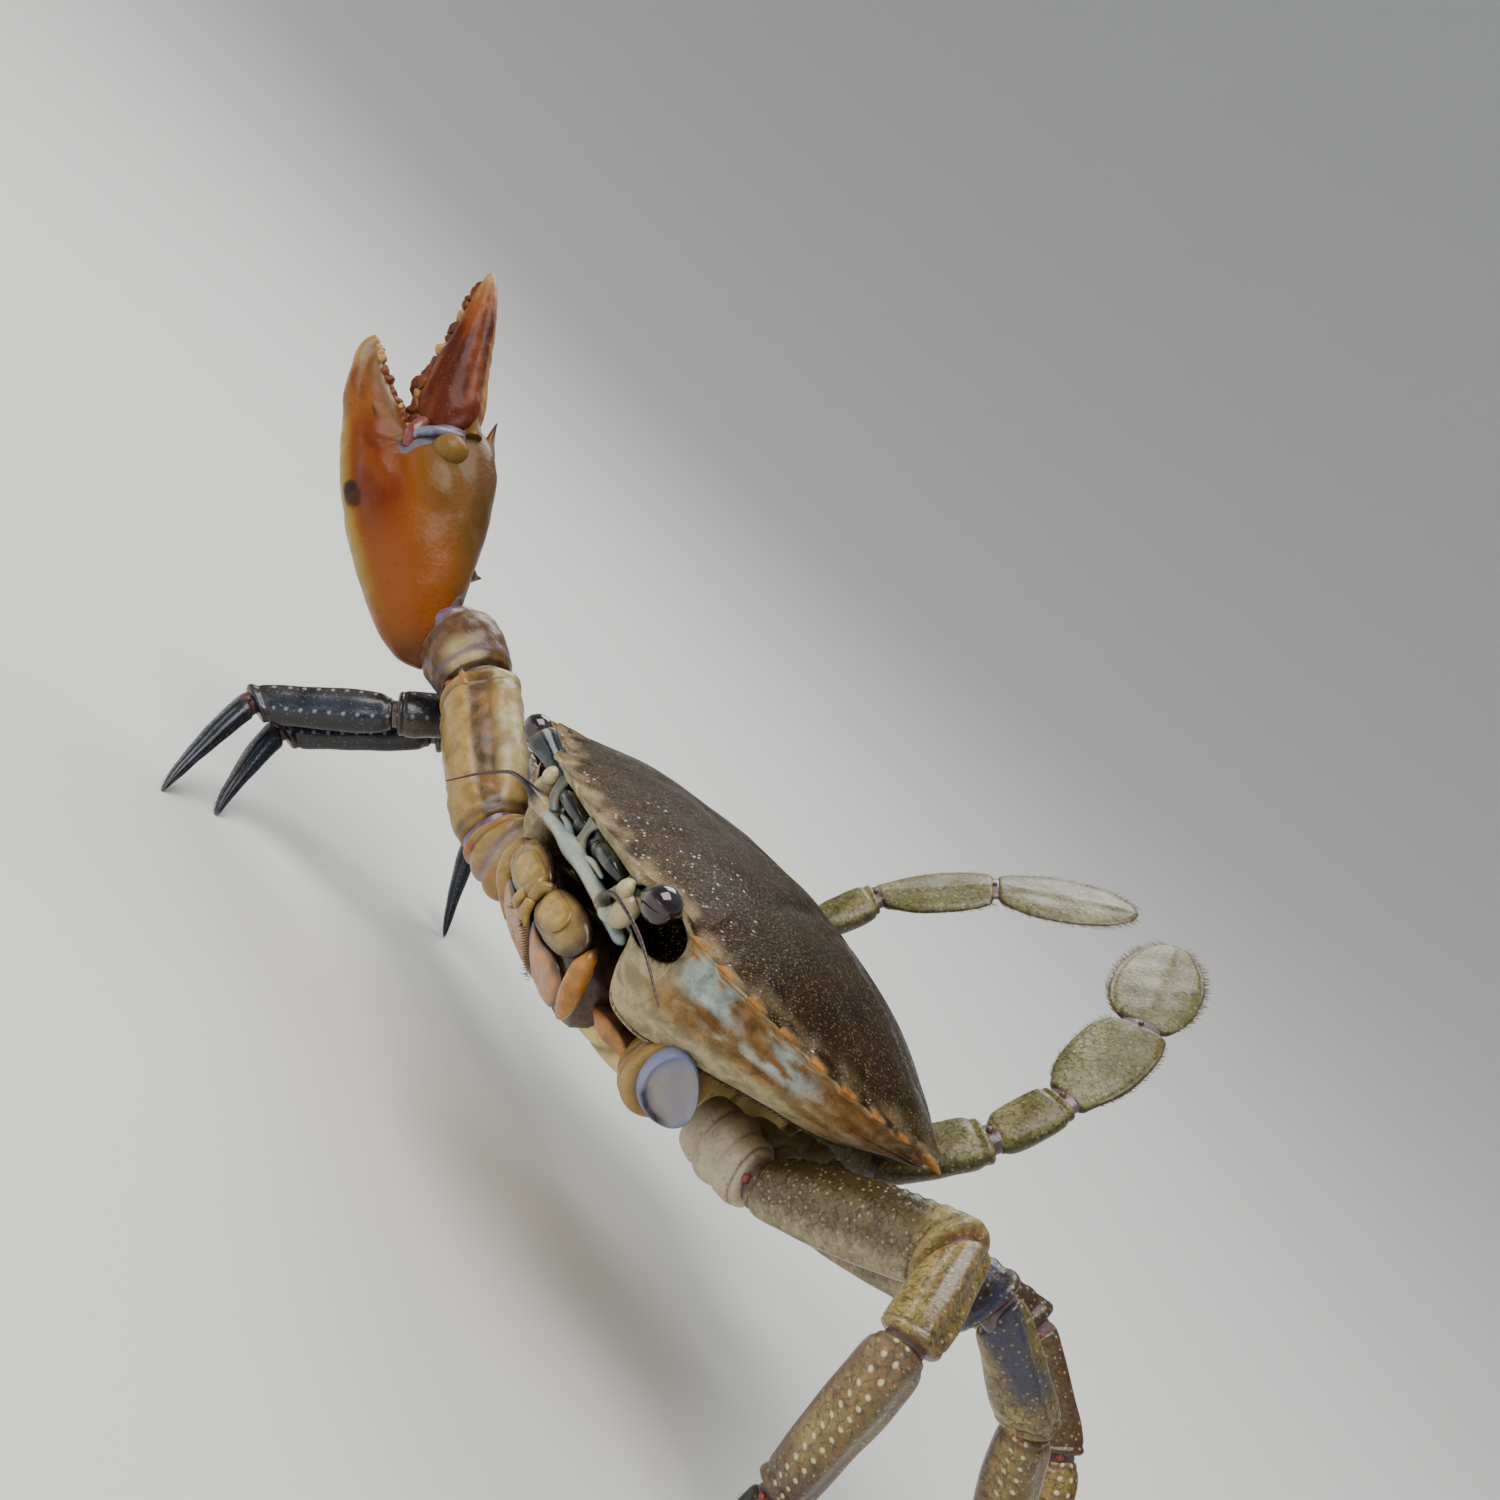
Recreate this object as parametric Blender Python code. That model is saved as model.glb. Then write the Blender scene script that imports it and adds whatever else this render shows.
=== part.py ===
# Giant mud crab, life size, standing on its walking legs with the right claw raised and open.
# The left claw is missing: only the stump of its base is left.
# Points and lengths are in millimetres in the crab's own frame: +X to the crab's left,
# -Y to its front, +Z up, zero at the middle of the shell at the level of its teeth.

import math

import bpy
import bmesh
import numpy as np
from mathutils import Vector

MM = 0.001
GAP = 0.3
FLOOR = -78.0
UP = Vector((0.0, 0.0, 1.0))

# Shell: a toothed arc on each side, four blunt teeth between the eyes, a low dome.
SHELL_MIDDLE = (0.0, 2.0, 0.0)
TOOTH_COUNT = 9
TOOTH_ARC_CENTRE = (24.0, 2.0)
TOOTH_ARC_RADIUS = 52.4
TOOTH_FIRST_ANGLE = -67.0
TOOTH_ANGLE_STEP = 8.56
TOOTH_DEPTH = 3.4
LAST_TOOTH_EXTRA = 4.6
FRONT_TOOTH_SPACING = 12.0
FRONT_EDGE = -50.6
REAR_EDGE = 51.6
REAR_EDGE_HEIGHT = -4.0
DOME_HEIGHT = 14.0
DOME_RINGS = (0.965, 0.88, 0.74, 0.55, 0.3)

# Face: each place is the one on the left, and the right one is mirrored.
EYE_SIZE = 4.0
EYE_BASE = (20.5, -45.0, -3.6)
LEFT_EYE_TIP = (33.6, -48.2, -0.6)
RIGHT_EYE_TIP = (36.4, -53.4, 0.4)
ORBIT_MIDDLE = (34.5, -46.6, -5.8)
ORBIT_HALF_SIZES = (10.5, 9.0, 6.4)
SOCKET_MIDDLE = (9.4, -48.0, -6.2)
SOCKET_HALF_SIZES = (6.6, 4.4, 3.0)

# Right claw: base, arm and wrist piece from the body out, then the hand.
CLAW_ROOT = (-30.0, -22.0, -27.5)
CLAW_ARM_START = (-46.5, -35.5, -28.0)
CLAW_ARM_END = (-88.0, -42.0, -9.5)
WRIST = (-105.0, -49.0, -5.0)
HAND_TIP = (-179.3, -93.5, 34.0)
HAND_UPWARD = (0.134, 0.518, 0.845)
PALM_LENGTH = 58.0

# Lost left claw: the stump of its base.
STUMP_ROOT = (31.0, -20.5, -26.0)
STUMP_END = (46.5, -27.0, -24.5)
STUMP_PLUG = 2.4

# Legs: root, then (bearing, rise) of each piece. Bearing 0 is to the crab's left, 90 to its rear.
# The toe of a walking leg runs to the place of its foot on the floor.
WALKING_LEG_LENGTHS = {
    1: (20.0, 46.5, 24.0, 37.0),
    2: (17.0, 51.0, 26.5, 40.0),
    3: (16.5, 49.0, 24.0, 36.0),
}
WALKING_LEG_SCALES = {1: 1.0, 2: 1.0, 3: 0.92}
WALKING_LEGS = (
    (1, "left", (40.0, -9.6, -28.5), ((8.0, 5.0), (4.3, 29.0), (-47.0, -28.0), (112.0, -73.0)),
     (115.0, -22.0)),
    (2, "left", (39.0, 3.6, -28.0), ((6.0, 5.0), (6.5, 22.0), (76.0, -29.0), (80.0, -56.0)),
     (114.0, 50.0)),
    (3, "left", (37.0, 16.0, -26.0), ((30.0, 6.0), (57.0, 10.0), (24.0, -34.0), (18.0, -60.0)),
     (112.0, 84.0)),
    (1, "right", (-37.0, -9.0, -28.5), ((195.0, 4.0), (198.0, 14.0), (255.0, -38.0), (241.5, -39.0)),
     (-95.0, -82.0)),
    (2, "right", (-37.0, 4.0, -28.0), ((186.0, 6.0), (197.0, 14.0), (249.0, -35.0), (251.0, -42.0)),
     (-101.0, -65.0)),
    (3, "right", (-35.0, 16.0, -26.0), ((172.0, 7.0), (173.0, 23.0), (200.0, -38.0), (204.0, -66.0)),
     (-116.0, 20.0)),
)
SWIMMING_LEG_ROOT = (25.0, 29.0, -20.0)
SWIMMING_LEG_LENGTHS = (17.0, 27.0, 19.0, 32.0, 38.0)
SWIMMING_LEG_BEARINGS = ((52.0, 6.0), (58.0, 54.0), (90.0, 62.0), (124.0, 48.0), (140.0, 34.0))

# Sections of the limbs: (share of the length, half height, half thickness).
BASE_PROFILE = ((0.0, 6.4, 4.8), (0.45, 7.2, 5.4), (0.8, 6.6, 5.0), (1.0, 5.4, 4.2))
ARM_PROFILE = ((0.0, 4.8, 3.8), (0.12, 6.0, 4.4), (0.5, 7.0, 4.4), (0.85, 6.6, 4.2), (1.0, 4.8, 3.8))
CUFF_PROFILE = ((0.0, 4.6, 3.8), (0.3, 5.4, 4.2), (0.75, 5.8, 4.3), (1.0, 4.5, 3.6))
SHIN_PROFILE = ((0.0, 4.4, 3.4), (0.2, 5.4, 3.6), (0.6, 5.2, 3.5), (0.9, 4.6, 3.2), (1.0, 3.8, 2.9))
TOE_PROFILE = ((0.0, 3.7, 2.8), (0.15, 4.1, 2.8), (0.5, 3.2, 2.1), (0.8, 1.9, 1.4), (1.0, 0.85, 0.85))
SWIM_BASE_PROFILE = ((0.0, 4.8, 4.1), (0.45, 5.4, 4.6), (0.8, 5.0, 4.2), (1.0, 4.0, 3.6))
SWIM_ARM_PROFILE = ((0.0, 4.6, 3.4), (0.2, 6.4, 3.8), (0.6, 7.0, 3.6), (1.0, 4.8, 3.0))
SWIM_CUFF_PROFILE = ((0.0, 4.6, 3.0), (0.4, 6.0, 3.0), (0.8, 5.6, 2.7), (1.0, 4.4, 2.2))
BLADE_PROFILE = ((0.0, 4.6, 2.2), (0.25, 8.0, 2.0), (0.6, 9.4, 1.8), (0.85, 8.4, 1.7), (1.0, 6.4, 1.6))
PADDLE_PROFILE = (
    (0.0, 6.2, 1.5), (0.2, 9.6, 1.6), (0.45, 11.0, 1.5), (0.7, 9.6, 1.2), (0.88, 6.0, 0.9),
    (0.98, 2.0, 0.5),
)
CLAW_BASE_PROFILE = ((0.0, 9.0, 7.4), (0.5, 10.2, 8.6), (0.82, 10.0, 8.4), (1.0, 8.2, 7.2))
CLAW_ARM_PROFILE = (
    (0.0, 7.2, 6.8), (0.12, 9.0, 8.6), (0.5, 10.6, 10.0), (0.85, 10.8, 9.8), (1.0, 8.6, 7.6),
)
CLAW_CUFF_PROFILE = ((0.0, 8.4, 7.6), (0.3, 10.8, 9.6), (0.75, 11.6, 10.4), (1.0, 9.8, 8.8))
STUMP_BASE_PROFILE = ((0.0, 8.4, 6.4), (0.45, 9.0, 7.0), (0.8, 9.0, 7.4), (1.0, 8.6, 7.0))
STUMP_PLUG_PROFILE = ((0.0, 7.6, 6.4), (0.5, 7.4, 6.2), (0.9, 6.6, 5.4))

SHELL_COLOUR = (0.16, 0.115, 0.06)
BELLY_COLOUR = (0.62, 0.5, 0.27)
MOUTH_COLOUR = (0.45, 0.5, 0.45)
LID_COLOUR = (0.55, 0.3, 0.1)
EYE_COLOUR = (0.06, 0.035, 0.05)
FEELER_COLOUR = (0.09, 0.05, 0.04)
CLAW_COLOUR = (0.5, 0.2, 0.03)
FINGER_COLOUR = (0.3, 0.06, 0.03)
ARM_COLOUR = (0.38, 0.3, 0.16)
STUMP_COLOUR = (0.55, 0.55, 0.58)
LEG_COLOUR = (0.17, 0.15, 0.06)
TOE_COLOUR = (0.03, 0.035, 0.05)
SHELL_ROUGHNESS = 0.35
EYE_ROUGHNESS = 0.08

SIDES = (("left", 1.0), ("right", -1.0))
PARTS = []


def direction(bearing, rise):
    """Unit vector of a bearing, turned up from the level by the rise."""
    flat = math.cos(math.radians(rise))
    return Vector((
        flat * math.cos(math.radians(bearing)),
        flat * math.sin(math.radians(bearing)),
        math.sin(math.radians(rise)),
    ))


def mirrored(point, side):
    """A point of the left side, or its mirror image where side is -1."""
    return Vector((point[0] * side, point[1], point[2]))


def make_material(name, colour, roughness):
    material = bpy.data.materials.new(name)
    material.use_nodes = True
    shader = material.node_tree.nodes["Principled BSDF"]
    shader.inputs["Base Color"].default_value = (*colour, 1.0)
    shader.inputs["Roughness"].default_value = roughness
    shader.inputs["Metallic"].default_value = 0.0
    return material


def make_solid(name, points, faces):
    """One closed mesh object, in metres, with its faces turned outwards."""
    mesh = bpy.data.meshes.new(name)
    mesh.from_pydata([tuple(point * MM) for point in points], [], faces)
    work = bmesh.new()
    work.from_mesh(mesh)
    bmesh.ops.recalc_face_normals(work, faces=work.faces)
    work.to_mesh(mesh)
    work.free()
    solid = bpy.data.objects.new(name, mesh)
    bpy.context.scene.collection.objects.link(solid)
    return solid


def loft(name, rings, start=None, end=None):
    """Closed solid through rings of equally many points; each end is a fan to a middle point."""
    count = len(rings[0])
    points = [Vector(point) for ring in rings for point in ring]
    faces = []
    for level in range(len(rings) - 1):
        base = level * count
        for index in range(count):
            following = (index + 1) % count
            faces.append((base + index, base + following, base + count + following))
            faces.append((base + index, base + count + following, base + count + index))
    for ring, base, middle in ((rings[0], 0, start), (rings[-1], (len(rings) - 1) * count, end)):
        if middle is None:
            middle = sum((Vector(point) for point in ring), Vector()) / count
        points.append(Vector(middle))
        for index in range(count):
            faces.append((base + index, base + (index + 1) % count, len(points) - 1))
    return make_solid(name, points, faces)


def oval(middle, across, along, half_across, half_along, count):
    """Ring of points on an ellipse in the plane of two unit vectors."""
    ring = []
    for index in range(count):
        angle = 2.0 * math.pi * index / count
        ring.append(
            middle
            + across * (half_across * math.cos(angle))
            + along * (half_along * math.sin(angle))
        )
    return ring


def ellipsoid(name, middle, half_sizes, segments=14, levels=8):
    rings = []
    for level in range(1, levels):
        polar = math.pi * level / levels
        width = math.sin(polar)
        height = middle[2] - half_sizes[2] * math.cos(polar)
        ring = []
        for index in range(segments):
            angle = 2.0 * math.pi * index / segments
            ring.append(Vector((
                middle[0] + half_sizes[0] * width * math.cos(angle),
                middle[1] + half_sizes[1] * width * math.sin(angle),
                height,
            )))
        rings.append(ring)
    pole = UP * half_sizes[2]
    return loft(name, rings, middle - pole, middle + pole)


def tube(name, path, radii, count=6, flatness=1.0):
    """Tapered tube along a path, with a radius at each of its points."""
    rings = []
    for index, point in enumerate(path):
        before = path[max(index - 1, 0)]
        after = path[min(index + 1, len(path) - 1)]
        heading = (after - before).normalized()
        across = heading.cross(UP).normalized()
        upward = across.cross(heading)
        rings.append(oval(point, across, upward, radii[index], radii[index] * flatness, count))
    return loft(name, rings)


def spine(name, root, heading, length, radius, count=6):
    """Tapered thorn with its root sunk below the surface it stands on."""
    heading = heading.normalized()
    across = heading.orthogonal().normalized()
    upward = heading.cross(across)
    sunk = 0.6 * radius + 1.2
    rings = [
        oval(root + heading * along, across, upward, width * radius, width * radius, count)
        for along, width in ((-sunk, 1.0), (0.35 * length, 0.72), (0.9 * length, 0.2))
    ]
    return loft(name, rings, end=root + heading * length)


def enclosed_room(shell):
    """Six times the room inside a set of faces."""
    total = 0.0
    for face in shell:
        corners = [corner.co for corner in face.verts]
        for index in range(1, len(corners) - 1):
            total += corners[0].dot(corners[index].cross(corners[index + 1]))
    return abs(total)


def keep_largest_shell(solid):
    """Keep only the closed surface with the most room in it."""
    work = bmesh.new()
    work.from_mesh(solid.data)
    unseen = set(work.faces)
    shells = []
    while unseen:
        shell = [unseen.pop()]
        for face in shell:
            for edge in face.edges:
                for neighbour in edge.link_faces:
                    if neighbour in unseen:
                        unseen.remove(neighbour)
                        shell.append(neighbour)
        shells.append(shell)
    shells.sort(key=enclosed_room, reverse=True)
    for shell in shells[1:]:
        bmesh.ops.delete(work, geom=shell, context="FACES")
    loose = [corner for corner in work.verts if not corner.link_faces]
    bmesh.ops.delete(work, geom=loose, context="VERTS")
    bmesh.ops.triangulate(work, faces=work.faces)
    work.to_mesh(solid.data)
    work.free()


def combine(solid, others, operation):
    """Boolean of one solid with a set of others, applied, with the others removed after it."""
    group = bpy.data.collections.new("operands")
    bpy.context.scene.collection.children.link(group)
    for other in others:
        bpy.context.scene.collection.objects.unlink(other)
        group.objects.link(other)
    change = solid.modifiers.new("change", "BOOLEAN")
    change.operation = operation
    change.operand_type = "COLLECTION"
    change.collection = group
    change.solver = "EXACT"
    graph = bpy.context.evaluated_depsgraph_get()
    result = bpy.data.meshes.new_from_object(solid.evaluated_get(graph))
    solid.modifiers.clear()
    solid.data = result
    for other in others:
        bpy.data.objects.remove(other)
    bpy.data.collections.remove(group)
    keep_largest_shell(solid)


def swollen_copy(solid, distance):
    """Copy whose every face lies farther out by the distance, which is in metres."""
    copy = solid.copy()
    copy.data = solid.data.copy()
    bpy.context.scene.collection.objects.link(copy)
    work = bmesh.new()
    work.from_mesh(copy.data)
    work.normal_update()
    moves = []
    for corner in work.verts:
        normals = np.array([tuple(face.normal) for face in corner.link_faces if face.calc_area() > 0.0])
        move, *_ = np.linalg.lstsq(normals, np.full(len(normals), distance), rcond=0.15)
        move = Vector(move)
        if move.length > 2.0 * distance:
            move = move.normalized() * (2.0 * distance)
        moves.append((corner, move))
    for corner, move in moves:
        corner.co += move
    work.to_mesh(copy.data)
    work.free()
    return copy


def make_room(solid, neighbours):
    """Cut the neighbours' places out of a solid, with the gap that touching pieces keep."""
    combine(solid, [swollen_copy(neighbour, GAP * MM) for neighbour in neighbours], "DIFFERENCE")


def keep(solid, name, colour, roughness=SHELL_ROUGHNESS):
    """Give a finished piece its name and material."""
    solid.name = name
    solid.data.name = name
    solid.data.materials.clear()
    solid.data.materials.append(make_material(name, colour, roughness))
    PARTS.append(solid)


# Shell

def front_columns():
    """Columns of the front edge, from the middle plane to the corner beside the orbit."""
    columns = []

    def add(x, tip_y, root_y):
        columns.append((
            Vector((x, tip_y, 0.0)), Vector((x, root_y, 0.0)), Vector((x, root_y + 6.0, -3.2)),
        ))

    add(0.0, FRONT_EDGE, FRONT_EDGE)
    for tooth in range(2):
        middle = FRONT_TOOTH_SPACING * (tooth + 0.5)
        add(middle - 2.6, FRONT_EDGE - 2.6 + tooth, FRONT_EDGE + 0.5 * tooth)
        add(middle + 1.6, FRONT_EDGE - 3.0 + tooth, FRONT_EDGE + 0.2 + 0.5 * tooth)
        add(FRONT_TOOTH_SPACING * (tooth + 1.0), FRONT_EDGE + tooth, FRONT_EDGE + 0.6 + tooth)
    return columns


def shell_columns():
    """Half outline from the middle of the front to the middle of the rear.

    Each column gives the tip on the toothed margin, the smooth margin under it,
    and the lower edge of the flank below it.
    """
    lower_edge = (
        (0.0, (25.5, -43.0, -6.0)),
        (0.05, (27.0, -41.0, -16.0)),
        (0.1, (28.5, -38.5, -21.5)),
        (0.18, (33.0, -33.0, -23.8)),
        (0.28, (41.0, -27.5, -21.0)),
        (0.42, (51.0, -18.0, -16.5)),
        (0.58, (61.0, -4.0, -12.0)),
        (0.7, (67.5, 5.0, -6.0)),
        (0.78, (67.0, 11.5, -4.5)),
        (0.86, (55.0, 22.0, -8.5)),
        (0.94, (39.0, 37.5, -11.0)),
        (1.0, (29.0, 45.0, -11.5)),
    )
    keys = [key for key, _ in lower_edge]

    def edge_at(share):
        return Vector([
            float(np.interp(share, keys, [place[axis] for _, place in lower_edge]))
            for axis in range(3)
        ])

    columns = front_columns()
    columns.append((Vector((26.0, FRONT_EDGE, 0.0)), Vector((26.0, -49.8, 0.0)), edge_at(0.0)))
    for share, place in ((0.05, (29.5, -46.6, 0.4)), (0.1, (34.0, -44.9, 0.8)), (0.15, (40.0, -44.3, 0.4))):
        columns.append((Vector(place), Vector(place), edge_at(share)))

    middle = Vector((*TOOTH_ARC_CENTRE, 0.0))
    for tooth in range(TOOTH_COUNT):
        last = tooth == TOOTH_COUNT - 1
        reach = TOOTH_ARC_RADIUS + (LAST_TOOTH_EXTRA if last else 0.0)
        share = 0.18 + 0.56 * tooth / TOOTH_COUNT
        for turn, radius, later in (
            (0.0, reach, 0.0),
            (3.1, TOOTH_ARC_RADIUS - 1.1, 0.025),
            (5.9, TOOTH_ARC_RADIUS - TOOTH_DEPTH, 0.045),
        ):
            out = direction(TOOTH_FIRST_ANGLE + TOOTH_ANGLE_STEP * tooth + turn, 0.0)
            root = middle + out * (TOOTH_ARC_RADIUS - TOOTH_DEPTH)
            columns.append((middle + out * radius, root, edge_at(share + later)))

    rear_start = Vector((70.5, 13.5, -0.5))
    rear_bend = Vector((56.0, 29.0, -2.0))
    rear_corner = Vector((29.5, 49.0, REAR_EDGE_HEIGHT))
    for step in range(5):
        share = step / 4.0
        place = (
            rear_start * (1.0 - share) ** 2
            + rear_bend * (2.0 * share * (1.0 - share))
            + rear_corner * share ** 2
        )
        columns.append((place, place, edge_at(0.78 + 0.22 * share)))
    for x in (20.0, 10.0, 0.0):
        place = Vector((x, REAR_EDGE - 0.0026 * x * x, REAR_EDGE_HEIGHT))
        columns.append((place, place, Vector((x, 47.5, -11.5))))
    return columns


def mirror_ring(half):
    """Full ring from a half that starts and ends on the middle plane."""
    return list(half) + [mirrored(point, -1.0) for point in reversed(half[1:-1])]


def under_ring(columns, share, depth):
    """Ring on the hidden underside, drawn in towards the middle and shallow under the face."""
    ring = []
    for _, _, edge in columns:
        inner = edge.lerp(Vector(SHELL_MIDDLE), 1.0 - share)
        forward = max(0.0, min(1.0, (-16.0 - edge.y) / 16.0))
        inner.x = edge.x * (share + 0.5 * (1.0 - share) * forward)
        front = max(0.0, min(1.0, (-18.0 - inner.y) / 18.0)) if abs(edge.x) < 26.0 else 0.0
        inner.z = depth * (1.0 - front) - 4.5 * front
        ring.append(inner)
    return ring


def build_shell():
    columns = shell_columns()
    middle = Vector(SHELL_MIDDLE)
    rings = [under_ring(columns, 0.45, -11.0), under_ring(columns, 0.8, -12.0)]
    rings.append([edge for _, _, edge in columns])
    bulge = []
    below = []
    for _, root, edge in columns:
        half_way = root.lerp(edge, 0.5)
        outward = Vector((half_way.x, half_way.y - middle.y, 0.0)).normalized()
        bulge.append(half_way + outward * min(3.0, 0.14 * (root - edge).length))
        low = root.lerp(edge, 0.16)
        low.z = root.z - (1.9 if edge.z > -3.5 else 2.4)
        below.append(low)
    rings.append(bulge)
    rings.append(below)
    rings.append([tip for tip, _, _ in columns])
    for share in DOME_RINGS:
        ring = []
        for _, root, _ in columns:
            place = middle.lerp(root, share)
            place.z = root.z * share * share + DOME_HEIGHT * (1.0 - share ** 2.1) ** 0.88
            ring.append(place)
        rings.append(ring)
    full = [mirror_ring(ring) for ring in rings]
    return loft("shell", full, Vector((0.0, 4.0, -12.0)), Vector((0.0, 0.0, DOME_HEIGHT)))


# Underside

def build_chest():
    """Breastplate and the block of body above it, between the leg bases."""
    levels = (
        (-37.2, 17.0, 20.0, 14.0),
        (-36.0, 27.0, 27.0, 24.0),
        (-32.0, 34.0, 31.0, 31.0),
        (-26.0, 37.0, 32.0, 36.0),
        (-18.0, 38.0, 32.0, 40.0),
        (-4.0, 38.0, 32.0, 42.0),
    )
    steps = 24
    squareness = 2.8
    rings = []
    for height, half_width, front_reach, rear_reach in levels:
        ring = []
        for step in range(steps):
            angle = 2.0 * math.pi * step / steps
            across = math.sin(angle)
            along = -math.cos(angle)
            reach = front_reach if along < 0.0 else rear_reach
            square = (abs(across) ** squareness + abs(along) ** squareness) ** (-1.0 / squareness)
            ring.append(Vector((half_width * across * square, reach * along * square, height)))
        rings.append(ring)
    return loft("chest", rings)


def build_tail_flap():
    """Narrow tail of a male, folded under the body."""
    stations = (
        (50.6, -9.5, 15.0, (0.0, 0.4, 1.0)),
        (50.0, -15.0, 14.5, (0.0, 1.0, 0.2)),
        (44.5, -24.5, 13.5, (0.0, 0.8, -0.6)),
        (35.5, -31.5, 12.0, (0.0, 0.6, -0.8)),
        (24.0, -36.4, 10.0, (0.0, 0.2, -1.0)),
        (8.0, -38.2, 6.6, (0.0, 0.0, -1.0)),
        (-4.0, -38.2, 4.0, (0.0, 0.0, -1.0)),
        (-11.5, -38.0, 1.6, (0.0, 0.0, -1.0)),
    )
    section = (
        (-1.0, -1.3), (-1.0, 0.26), (-0.5, 0.9), (0.0, 1.2), (0.5, 0.9), (1.0, 0.26), (1.0, -1.3),
        (0.0, -1.56),
    )
    rings = []
    for y, z, half_width, outward in stations:
        out = Vector(outward).normalized()
        rings.append([Vector((half_width * share, y, z)) + out * lift for share, lift in section])
    return loft("tail", rings)


# Face

def build_mouth_frame():
    """Ridge over the mouth, the pillar between the feelers and the floor of their sockets."""
    half_stations = ((0.0, -49.2, -47.6), (4.0, -46.5, -47.2), (14.0, -45.5, -46.5), (25.0, -43.5, -44.0))
    stations = [(-x, nose, ridge) for x, nose, ridge in reversed(half_stations[1:])]
    stations.extend(half_stations)
    back = -29.0
    floor = -15.2
    rings = []
    for x, nose, ridge in stations:
        rings.append([Vector((x, y, z)) for y, z in (
            (back, -3.0), (nose, -2.0), (nose, -8.5), (ridge, -11.5), (ridge + 1.0, -14.2),
            (-40.0, floor), (back, floor),
        )])
    return loft("mouth_frame", rings)


def build_mouth_lid(side):
    """Outer mouthpart: a plate that closes one half of the mouth field, and its side rod."""
    back = -28.5
    levels = (
        (-18.2, 3.0, 12.0, -43.0),
        (-19.6, 0.5, 17.0, -45.8),
        (-23.0, 0.5, 20.0, -46.0),
        (-27.5, 0.5, 20.6, -43.2),
        (-32.5, 0.5, 19.0, -38.4),
        (-36.0, 0.5, 15.0, -33.6),
        (-37.4, 0.5, 9.0, -30.5),
    )
    rings = []
    for height, inner, outer, front in levels:
        rings.append([mirrored((x, y, height), side) for x, y in (
            (inner, back), (inner, front + 1.2), (inner + 2.0, front + 0.2),
            (0.5 * (inner + outer), front), (outer - 2.5, front + 0.8), (outer, front + 3.0),
            (outer, back),
        )])
    plate = loft("mouth_lid", rings)
    path = ((18.0, -41.0, -19.6), (20.6, -43.0, -23.5), (20.6, -40.4, -28.5), (18.0, -36.0, -33.0))
    rod = tube("side_rod", [mirrored(point, side) for point in path], (1.3, 2.2, 2.4, 1.5), 8, 1.3)
    combine(plate, [rod], "UNION")
    return plate


def build_eye(side, tip):
    """Stalk with the rounded cornea on its end."""
    base = mirrored(EYE_BASE, side)
    tip = mirrored(tip, side)
    heading = (tip - base).normalized()
    across = heading.orthogonal().normalized()
    upward = heading.cross(across)
    length = (tip - base).length
    profile = (
        (0.0, 0.62), (0.25, 0.74), (0.55, 0.68), (0.72, 0.86), (0.84, 1.0),
        (0.94, 0.98), (1.02, 0.84), (1.09, 0.52),
    )
    rings = []
    for share, width in profile:
        radius = EYE_SIZE * width
        rings.append(oval(base + heading * (length * share), across, upward, radius, radius, 10))
    return loft("eye", rings, end=tip + heading * (0.12 * length))


def build_feeler(side, path):
    """Stout root, then a thin whip along the path."""
    points = [mirrored(point, side) for point in path]
    return tube("feeler", points, (2.3, 2.2, 1.1, 0.65, 0.5, 0.3))


def build_small_feeler(side):
    path = ((5.6, -44.0, -6.6), (6.6, -47.0, -6.4), (9.6, -47.6, -6.0), (12.4, -46.6, -5.6))
    return tube("small_feeler", [mirrored(point, side) for point in path], (1.7, 1.7, 1.3, 0.8))


# Limbs

def limb_frame(heading, side_hint):
    """Thin and tall directions of a segment's section, square to its length."""
    thin = side_hint - heading * side_hint.dot(heading)
    thin.normalize()
    return thin, thin.cross(heading)


def limb_segment(start, end, start_cut, end_cut, side_hint, profile, count=10, bow=0.0):
    """Loft between two joints, each end trimmed by the plane it shares with its neighbour.

    A cut is the plane's point and the unit vector it faces; bow bends the middle line.
    """
    axis = end - start
    heading = axis.normalized()
    thin, tall = limb_frame(heading, side_hint)
    rings = []
    for share, half_height, half_thickness in profile:
        middle = start + axis * share + tall * (bow * 4.0 * share * (1.0 - share))
        rings.append(oval(middle, tall, thin, half_height, half_thickness, count))
    for place, cut in ((0, start_cut), (-1, end_cut)):
        if cut is not None:
            point, facing = cut
            lean = heading.dot(facing)
            rings[place] = [
                corner + heading * ((point - corner).dot(facing) / lean) for corner in rings[place]
            ]
    return loft("segment", rings)


def chain(root, bearings, lengths):
    """Joints of a limb, from its root out."""
    joints = [Vector(root)]
    for (bearing, rise), length in zip(bearings, lengths):
        joints.append(joints[-1] + direction(bearing, rise) * length)
    return joints


def joint_cuts(joints):
    """For each joint, the planes that trim the segment before it and the one after it."""
    cuts = [(None, None)]
    for index in range(1, len(joints) - 1):
        joint = joints[index]
        before = (joint - joints[index - 1]).normalized()
        after = (joints[index + 1] - joint).normalized()
        facing = (before + after).normalized()
        half_gap = facing * (GAP / 2.0)
        cuts.append(((joint - half_gap, facing), (joint + half_gap, facing)))
    cuts.append((None, None))
    return cuts


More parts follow.
